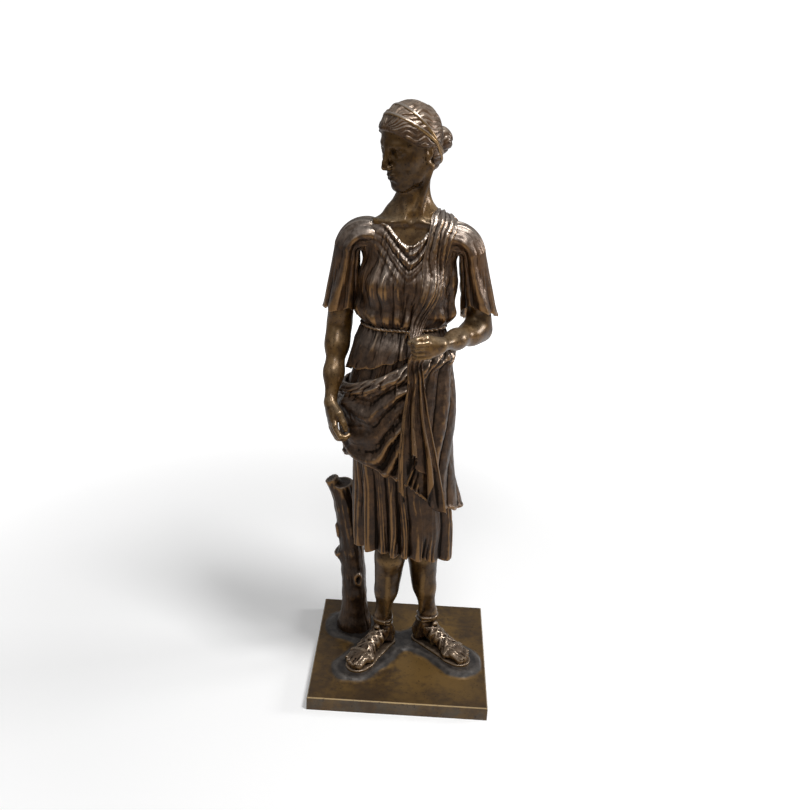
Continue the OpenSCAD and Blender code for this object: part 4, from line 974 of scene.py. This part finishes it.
def makeBust(material):
    points, quads = skinOf(bustField, (-34, -28, 326), (16, 30, 424), headLook["cell"])
    q = toHead(points)
    hair = hairField(q.astype(np.float32))
    amount = ease(0.9, -0.3, hair) * ease(-0.8, 1.6, hairLine(q) + 30 * (q[:, 1] < -14))
    points = points + vertexNormals(points, quads) * (amount * hairDepth(q))[:, None]
    crown = ease(0.5, -0.2, hair)
    # painted shade on the front of the face, which also takes less coat
    dull = 0.46 * ease(-4, 3, q[:, 2]) * ease(-8, 2, q[:, 1]) * (1 - crown)
    makePiece("headAndChest", points, quads, material, ("bust", "neck_pin"), 0.25,
              crown=crown, dull=dull)
    for k, (tilt, centre) in enumerate(hairBands["rings"]):
        path, way = bandRing(tilt, centre)
        ring = tubeAlong(fromHead(path), fromHead(path + way) - fromHead(path), hairBands["wide"], hairBands["thick"],
                         10, True)
        makePiece(f"hairBand{k + 1}", *ring, material, crown=np.ones(len(ring[0])))


def tubeAlong(path, facing, wide, thick, sides=8, closed=False):
    # a flat or round strip whose thickness points along facing
    ahead = unit(np.roll(path, -1, 0) - np.roll(path, 1, 0) if closed else np.gradient(path, axis=0))
    side = unit(np.cross(ahead, facing))
    out = np.cross(side, ahead)
    t = np.linspace(0, 2 * np.pi, sides, endpoint=False)[None, :, None]
    wide, thick = (np.broadcast_to(np.asarray(w, float), (len(path),))[:, None, None] for w in (wide, thick))
    ring = path[:, None] + side[:, None] * np.cos(t) * wide + out[:, None] * np.sin(t) * thick
    return ring.reshape(-1, 3), gridFaces(len(path), sides, closed, True)


# arms and sleeves: palm is the way it faces, curl closes the fingers, trail lowers the sleeve behind
armRootR, outTurn = 11.5, 74
arms = {
    "right": {"side": -1, "elbow": (-55.311, 13, 266.5), "wrist": (-57.811, -14, 218.5),
              "grip": (-53.811, -24, 203.5), "palm": (1, 0.4, 0), "hand": 1, "curl": 0.42, "trail": 0.07},
    "left": {"side": 1, "elbow": (42.5, 19, 266.5), "wrist": (14.972, -27.848, 268.436),
             "grip": (5.589, -37.06, fistZ), "palm": (-0.5, 1, 0), "hand": -1, "curl": 1, "trail": 0.13},
}
armLook = {"cell": 0.55, "pleats": 9, "pleatDepth": 3.5, "sleeveLength": 0.88, "sleeveColumns": 190,
           "sleeveRows": 120}


def armPlaces(arm):
    # the armpit that the sleeve swings round, where the arm leaves it, and the arm's own places
    side = arm["side"]
    armpit = vec(neckX + side * 29.5, 4, shoulderZ) + vec(side * 0.15, 0, -armRootR - 1)
    hang = armpit + (armRootR + 1) * vec(side * sind(outTurn), 0, cosd(outTurn))
    return armpit, hang, *(np.array(arm[k], float) for k in ("elbow", "wrist", "grip"))


def makeArm(key, material):
    arm = arms[key]
    hang, elbow, wrist, grip = armPlaces(arm)[1:]
    along, curl = unit(grip - wrist), arm["curl"]
    inward = unit(np.array(arm["palm"]) - along * (np.array(arm["palm"]) @ along))
    across = arm["hand"] * np.cross(along, inward)
    axes = np.stack([across, inward, along])
    fore = unit(wrist - elbow)
    outer = unit(np.cross(fore, np.cross(unit(hang - elbow), fore)))

    def field(p):
        d = chain(p, [mix(hang, elbow, t) for t in (0.1, 0.5, 0.85)] + [elbow], [6.9, 7.1, 6.9, 6.9], 8)
        d = join(d, capsule(p, elbow - outer * 1.0, mix(elbow, wrist, 0.12) - outer * 0.9, 5.4, 5.6), 6)
        d = join(d, chain(p, [elbow, mix(elbow, wrist, 0.25), mix(elbow, wrist, 0.62), wrist],
                          [6.8, 6.8, 5.5, 4.2], 9), 6)
        for way in (-across, across):
            d = join(d, capsule(p, wrist + way * 1.6, mix(wrist, grip, 0.3) + way * 1.8, 3.6, 3.4), 2.5)
        d = join(d, blob(p, mix(wrist, grip, 0.58) - inward * 0.1, (6.7, 3.5, 8.8), axes), 3)
        for k in range(4):
            start = grip + across * (4.7 - 3.15 * k) - along * (0.5 + 0.5 * (k - 1) ** 2) * 0.8
            r = 1.95 - 0.1 * k
            bend = [start - along * 4, start - inward * 0.6, start + along * (4 - 0.5 * abs(k - 1.3)) - inward * 0.1,
                    start + along * mix(9, 6.6, curl) + inward * mix(2, 2.2, curl),
                    start + along * mix(10.5, 6.4, curl) + inward * mix(5.4, 6.4, curl),
                    start + along * mix(10, 3.4, curl) + inward * mix(8.2, 8.6, curl)]
            finger = chain(p, bend, [r * 0.7, r + 0.25, r * 0.92, r, r * 0.88, r * 0.78], 0.35)
            tendon = capsule(p, start - inward * 1.6, mix(start, wrist, 0.7) - inward * 2.0, 0.7, 0.5)
            d = join(join(d, tendon, 1.3), finger, 0.45)
        tip = 1 - curl
        thumb = chain(p, [wrist + along * 3 + across * 3.2 + inward, wrist + along * 10 + across * 6.4 + inward * 3.0,
                          wrist + along * (16 + tip) + across * (6.4 - 0.4 * curl) + inward * (4.4 + 1.6 * curl),
                          wrist + along * (20 + 2 * tip) + across * (5.6 - curl) + inward * (4.8 + 3.2 * curl)],
                      [3.0, 2.9, 2.3, 1.9], 0.8)
        return join(d, thumb, 1.8)
    spots = np.stack([hang, elbow, wrist, grip, grip + along * 12, grip + inward * 11])
    points, quads = skinOf(field, spots.min(0) - 11, spots.max(0) + 11, armLook["cell"])
    makePiece(key + "ForearmAndHand", points, quads, material, (key + "_arm",), 0.55)


def sleevePoint(arm, w, j, inset=0.0):
    # w runs from the shoulder seam, 0, over the bend at 0.42 to the hem, 1, and j is an angle round the arm
    side = arm["side"]
    armpit, hang, elbow = armPlaces(arm)[:3]
    turned, hung = np.clip(w / 0.42, 0, 1), np.clip((w - 0.42) / 0.58, 0, 1)
    turn = mix(-24, outTurn, turned)
    centre = armpit + (armRootR + 1) * np.stack([side * sind(turn), 0 * turn, cosd(turn)], -1)
    centre = centre + (elbow - hang) * (armLook["sleeveLength"] * hung)[..., None]
    slim = mix(1, 0.76, ease(0.2, 1, turned))
    u = armLook["pleats"] * (j + 11 * sind(2 * j + 40) + 14 * rough(w * 2.2, j / 50, 71)) / 360
    fine = 2.6 * u + 0.8 * rough(w * 5, j / 20, 72)
    pleat = 1.1 * fold(u) ** 1.8 * foldSize(u) + 0.22 * fold(fine) * (1 - 0.6 * fold(u)) - 0.4
    pleat = armLook["pleatDepth"] * (0.5 + 0.5 * ease(0.2, 0.9, w)) * pleat
    sag = w * 7 + 0.6 * (wrap(j) / 75) ** 2 + 0.35 * rough(w * 5, j / 25, 74)
    drag = 1.9 * fold(sag) ** 1.5 * foldSize(sag) * bump(wrap(j - 25), 55) * bump(w - 0.7, 0.22)
    pleat = pleat * (1 - 0.45 * bump(wrap(j - 25), 55) * bump(w - 0.7, 0.22))
    cross = 0.3 * rough(w * 13, j / 12, 73) * (1 - 0.5 * w)
    q = armRootR - 0.3 + 5.2 * hung ** 1.4 + pleat + cross + drag - inset + 0.6 * bump(w - 0.985, 0.02)
    out = slim * q * cosd(j)
    deep = q * sind(j) * (1 + 0.16 * hung)
    return centre + np.stack([side * out * cosd(90 + turn), deep, -out * sind(90 + turn)], -1)


def makeSleeve(key, material):
    arm, j = arms[key], turns(armLook["sleeveColumns"])
    end = 0.965 + 0.016 * sind(3 * j + 50) - 0.018 * fold(armLook["pleats"] * j / 360) + arm["trail"] * sind(j - 25)
    steps = [(0.35, 2.4), (0.8, 1.8), (0.96, 1.3), (1.004, 0.95), (1.004, 0.35)]
    steps += [(w, 0.0) for w in np.linspace(1, 0, armLook["sleeveRows"])] + [(0, 5.0)]
    rows = [sleevePoint(arm, end * w, j, inset) for w, inset in steps]
    makePiece(key + "Sleeve", *band(rows), material)


# legs and sandals; a foot's own axes are x to the side, y backwards and z up from the ground
legs = {"right": {"ankle": (-15, 2), "turn": 32, "hip": (-10.635, 2.254), "lean": (0, -3, 0)},
        "left": {"ankle": (20, 10), "turn": -50, "hip": (11.033, 7.207), "lean": (-1, -1, 0)}}
footLook = {"heel": 12.96, "ball": -28.08, "tip": -41.04, "cell": 0.45, "strap": 0.85, "sole": 2.4}


def footField(q, side):
    heel, ball, tip, sole = (footLook[k] for k in ("heel", "ball", "tip", "sole"))
    d = chain(q, [(0, 0.5, 27), (0, 2.5, 15), (0, heel - 6.5, 8.4)], [5.6, 6.0, 6.2], 2)
    d = join(d, blob(q, (0, heel - 6, 7.6), (6.3, 6.8, 7.2)), 2)
    d = join(d, chain(q, [(0, -1, 14), (side * 0.4, -10, 11), (side * 0.8, -20, 7.4), (side, ball, 5.6)],
                      [5.8, 5.5, 4.5, 3.4], 3), 4)
    d = join(d, blob(q, (side * 0.8, ball + 2, 5.4), (9.6, 8, 3.6)), 3)
    d = join(d, blob(q, (-side * 4.5, -12, 6.2), (4.8, 12, 4.4)), 3)
    d = carve(d, blob(q, (side * 9.5, -9, 4.5), (4.5, 10, 4)), 3)
    for x in (-5.6, 5.6):
        d = join(d, blob(q, (x, 1.0 - 1.2 * side * np.sign(x), 19.6 - 0.2 * x * side), (2.0, 2.6, 3.0)), 2.2)
    d = join(d, capsule(q, (0, 9.4, 9), (0, 6.8, 32), 2.6, 2.4), 3)
    for x, back, r in ((6, 0, 3.0), (1.8, -0.4, 2.2), (-1.9, 1, 2.1), (-5.1, 3, 2.0), (-8, 5.6, 1.9)):
        toe = chain(q, [(side * x * 0.85, ball + 3, sole + r + 1.4), (side * x, ball - 3 + back, sole + r + 1.2),
                        (side * x, ball - 7 + back, sole + r + 0.2), (side * x, tip + r + back, sole + r * 0.8)],
                    [r * 0.93, r * 0.95, r * 0.82, r * 0.92], 0.5)
        nail = blob(q, (side * x, tip + r * 0.7 + back, sole + 1.62 * r), (r * 0.62, r * 0.7, 0.5))
        d = join(d, join(toe, nail, 0.12), 0.6)
    return d


def sandalField(q, flesh, side):
    heel, ball, tip, sole = (footLook[k] for k in ("heel", "ball", "tip", "sole"))
    flat = q * np.array([1, 1, 0], np.float32)
    outline = chain(flat, [(0, heel - 7, 0), (side * 0.2, -8, 0), (0.4 * side, ball, 0), (side * 1.5, tip + 7.5, 0)],
                    [7.6, 8.0, 10.4, 8.8], 2)
    board = common(outline, np.abs(q[:, 2] - sole / 2) - sole / 2, 0.4)
    shell = flesh - footLook["strap"]
    above = sole - 0.3 - q[:, 2]
    # each strap is a slab: a place in it, the way across it and half its width
    bands = [((0, ball + 2, 6), (0.05, 1, 0), 1.3), ((0, 3, 24.5), (0, 0.16, 1), 1.1),
             ((0, 5, 20.5), (0, 0.3, 1), 0.8)]
    for k, y in enumerate((-4, -9, -14, -19)):
        bands += [((0, y, 16 - 2 * k), (way * (0.62 - 0.03 * k), 0.74, 0.3 - 0.07 * k), 0.85) for way in (1, -1)]
    straps = np.maximum(np.abs(q[:, 0] - side * 3.9) - 0.9, q[:, 1] + 22)
    for centre, way, half in bands:
        across = unit(np.array(way, float)).astype(np.float32)
        straps = np.minimum(straps, np.abs((q - np.array(centre, np.float32)) @ across) - half)
    straps = common(common(shell, straps, 0.4), np.maximum(above, q[:, 2] - 26.5), 0.3)
    knots = join(blob(q, (0, -7.6, 20.4), (2.4, 1.5, 1.5)), blob(q, (side * 0.6, -15.5, 14.6), (1.7, 1.6, 1.2)), 0.3)
    return join(join(board, straps, 0.3), knots, 0.5)


def makeLeg(key, material):
    leg, ground = legs[key], heights["ground"]
    turn = math.radians(leg["turn"])
    side = 1 if leg["turn"] > 0 else -1
    ankle = vec(*leg["ankle"], heights["ankle"])
    top = vec(*leg["hip"], legTop)
    lean = vec(*leg["lean"])

    def field(p):
        x, y = p[:, 0] - ankle[0], p[:, 1] - ankle[1]
        q = np.stack([x * math.cos(turn) - y * math.sin(turn), x * math.sin(turn) + y * math.cos(turn),
                      p[:, 2] - ground], 1).astype(np.float32)
        shin = chain(p, [ankle + vec(0, 0.6, -2), ankle + vec(0, 0, 8), mix(ankle, top, 0.36) + lean * 0.8,
                         mix(ankle, top, 0.72) + lean * 1.5, top], [5.6, 5.4, 7.3, 9.6, 9.0], 5)
        for x in (-3.2, 3.4):
            calf = mix(ankle, top, 0.66) + lean + vec(x, 3.6, 2 * np.sign(x) * side)
            shin = join(shin, blob(p, calf, (6.2, 6.4, 27)), 7)
        front = mix(ankle, top, 0.5) + lean + vec(0.8 * side, -5.0, 0)
        flesh = join(footField(q, side), join(shin, blob(p, front, (2.6, 4.4, 32)), 4), 3.5)
        return join(flesh, sandalField(q, flesh, side), 0.25)
    ahead = np.array([-math.sin(turn), -math.cos(turn)])
    spots = np.stack([ankle[:2], ankle[:2] + 46 * ahead, ankle[:2] - 16 * ahead, top[:2]])
    points, quads = skinOf(field, (*(spots.min(0) - 13), ground - 1.5), (*(spots.max(0) + 13), hemZ + 15),
                           footLook["cell"])
    points[:, 2] = np.maximum(points[:, 2], ground)
    makePiece(key + "LegAndSandal", points, quads, material, (key + "_leg",), 0.8,
              crown=0.75 * ease(ground + 36, ground + 27, points[:, 2]))


# tree stump: each stub's start, end and two radii, and each knot's turn and height
stumpLook = {"at": (-38, 27), "height": 128, "radius": 9.5, "cell": 0.6, "bark": 0.75,
             "stubs": (((-6, -1, 62), (-14, -3, 70), 6.5, 5), ((-10, -4, 112), (-21, -6, 132), 6, 5)),
             "knots": ((25, 48), (-70, 88), (70, 96))}


def makeStump(material):
    base = vec(*stumpLook["at"], heights["ground"])
    tall, r = stumpLook["height"], stumpLook["radius"]

    def centre(v):
        return base + np.stack([-13 * v * v, -4 * v, tall * v], -1)

    def field(p):
        steps = np.array([-0.01, 0.04, 0.12, 0.25, 0.4, 0.55, 0.7, 0.85, 1.03])
        radii = r * (1 + 0.45 * bump(steps, 0.1) - 0.12 * steps)
        d = chain(p, centre(steps), radii, 2)
        d = common(d, (p - centre(np.array(1.0))) @ vec(-0.12, -0.1, 0.99), 0.8)
        for start, end, r1, r2 in stumpLook["stubs"]:
            start, end = base + np.array(start), base + np.array(end)
            way = unit(end - start)
            d = join(d, common(capsule(p, start, end + way * 3, r1, r2), (p - end) @ way, 0.7), 2.5)
        return d
    points, quads = skinOf(field, base - (30, 19, 2), base + (17, 17, 140), stumpLook["cell"])
    normal, z = vertexNormals(points, quads), points[:, 2]
    v = np.clip((z - base[2]) / tall, 0, 1)
    x, y, _ = (points - centre(v)).T
    a = np.degrees(np.arctan2(x, -y))
    swirl = a + 22 * v + 8 * rough(a / 40, z / 25, 81)
    plates = 1 - np.abs(rough(swirl / 24, z / 30, 82)) * 2.2
    cracks = 1 - np.abs(rough(swirl / 11, z / 34, 83)) * 2
    flank = ease(0.75, 0.3, np.abs(normal[:, 2]))
    height = 0.55 * ease(-0.6, 0.8, plates) + 0.3 * ease(-0.4, 0.9, cracks) + 0.15 * rough(a / 5, z / 4, 84)
    for spot, high in stumpLook["knots"]:
        far = np.hypot(wrap(a - spot) / 13, (z - base[2] - high) / 4.5)
        height = height + 2.2 * bump(far - 1, 0.45) - 1.0 * bump(far, 0.6)
    rings = 0.18 * sind(np.hypot(x, y) * 230)
    points = points + normal * (stumpLook["bark"] * (flank * (height - 0.5)) + (1 - flank) * rings)[:, None]
    points[:, 2] = np.maximum(points[:, 2], heights["ground"] - 0.3)
    makePiece("treeStump", points, quads, material, ("tree_stump",), 0.6)


# modelled ground under the feet and the stump; it ends just inside the plate's edge
groundLook = {"height": 1.95, "columns": 200, "slope": 8.5, "reach": 63.6, "fade": (63.4, 60.6)}


def makeGround(material):
    line = np.linspace(-groundLook["reach"], groundLook["reach"], groundLook["columns"])
    x, y = gridOf(line, line)
    flat = np.stack([x.ravel(), y.ravel(), 0 * x.ravel()], 1)
    stump = vec(*stumpLook["at"], 0)
    near = capsule(flat, stump, stump + vec(6, -4, 0), 15, 13)
    heels = []
    for leg in legs.values():
        turn = math.radians(leg["turn"])
        way = np.array([-math.sin(turn), -math.cos(turn), 0])
        at = vec(*leg["ankle"], 0)
        heels.append(at - way * 4)
        near = join(near, capsule(flat, at - way * 7, at + way * 34, 10, 12), 5)
    near = join(near, capsule(flat, heels[0], heels[1], 6, 6), 6)
    near = join(near, capsule(flat, heels[0], stump, 6, 8), 6).reshape(x.shape)
    ragged = near - 2.5 * rough(x / 16, y / 16, 91) - 1.0 * rough(x / 6, y / 6, 92)
    inside = ease(1.5 + groundLook["slope"], 1.5, np.minimum(ragged, near + 1.5))
    z = groundLook["height"] * inside
    z = z + (0.34 * rough(x / 6, y / 6, 93) + 0.1 * rough(x / 1.8, y / 1.8, 94) + 0.3) * inside
    z = z + 0.5 * bump(near - 2.5 - 1.5 * rough(x / 12, y / 12, 95), 2.2) * ease(-0.7, 0.5, rough(x / 14, y / 14, 96))
    z = z * ease(*groundLook["fade"], np.maximum(np.abs(x), np.abs(y)))
    top, low = (np.stack([x, y, h], -1) for h in (heights["plate"] - 0.12 + z, 0 * z + heights["plate"] - 0.6))
    earth = ease(0.05, 0.8, z / groundLook["height"])
    makePiece("modelledGround", *sheetSkin(top, low), material,
              earth=np.concatenate([earth, 0 * earth], 1))


# belt cord of two twisted strands, and its knot: the strands' paths in front of it, and their radii
beltLook = {"radius": 0.8, "twists": 22, "spread": 0.5, "knotTurn": 12}
knotShapes = (
    (0.75, [[-5.4, 0, 1.2], [-4.2, -1.2, 2.9], [-2.2, -1.4, 2.3], [0, -0.8, 0.2]]),
    (0.75, [[5.4, 0, 1.2], [4.2, -1.2, 2.9], [2.2, -1.4, 2.3], [0, -0.8, 0.2]]),
    (1.15, [[-1.2, -0.8, 0.9], [0, -1.5, 0], [1.2, -0.8, -0.9]]),
    (0.7, [[0, -0.4, -0.4], [1.2, -1.2, -3.2], [2.0, -0.6, -7.0]]),
    (0.7, [[0, -0.4, -0.4], [-1.4, -1.2, -3.0], [-2.4, -0.5, -8.0]]))


def makeBelt(material):
    a = np.linspace(0, 360, 720, endpoint=False)
    z = beltZ + 0.5 * sind(a + 30)
    r = bodiceR(a, z)
    smooth = np.convolve(np.concatenate([r[-20:], r, r[:20]]), np.ones(41) / 41, "valid")
    out = around(a, np.maximum(smooth, r - 0.9) + 0.5, z)
    facing = unit(out - around(a, 0 * a, z))
    made, spread = [], beltLook["spread"]
    for phase in (0, 180):
        spin = a * beltLook["twists"] + phase
        strand = out + facing * (spread * sind(spin))[:, None] + vec(0, 0, 1) * (spread * cosd(spin))[:, None]
        made.append(tubeAlong(strand, facing, beltLook["radius"], beltLook["radius"], 8, True))
    knot = around(beltLook["knotTurn"], bodiceR(beltLook["knotTurn"], beltZ) + 0.9, beltZ)
    for r, line in knotShapes:
        t = np.linspace(0, len(line) - 1, 16)
        width = r * (1 - 0.75 * np.abs(t / t[-1] * 2 - 1) ** 8)
        ahead = np.tile(vec(0.02, -1, 0.05), (16, 1))
        made.append(tubeAlong(knot + flow(list(enumerate(line)), t), ahead, width, width))
    starts = np.cumsum([0] + [len(points) for points, _ in made])
    faces = np.concatenate([quads + start for (_, quads), start in zip(made, starts)])
    makePiece("beltCord", np.concatenate([points for points, _ in made]), faces, material)


makeCamera()
makeLamps()
makeRoom()
print("room ready")
darkBronze, rubbedBronze, plinthBronze = bronze("darkBronze"), bronze("rubbedBronze"), plinthMetal("plinthBronze")
fixingBrass = brass("fixingBrass")
print("metals ready")
for make in (makeSkirt, makeMantle, makeBodice, makeDrape, makeFall):
    make(darkBronze)
makeBust(rubbedBronze)
for key in ("right", "left"):
    makeArm(key, rubbedBronze)
    makeSleeve(key, darkBronze)
    makeLeg(key, rubbedBronze)
makeStump(darkBronze)
makeGround(plinthBronze)
makeBelt(darkBronze)
for name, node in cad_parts.items():
    for s in node.material_slots:
        s.material = plinthBronze if name == "plinth" else fixingBrass
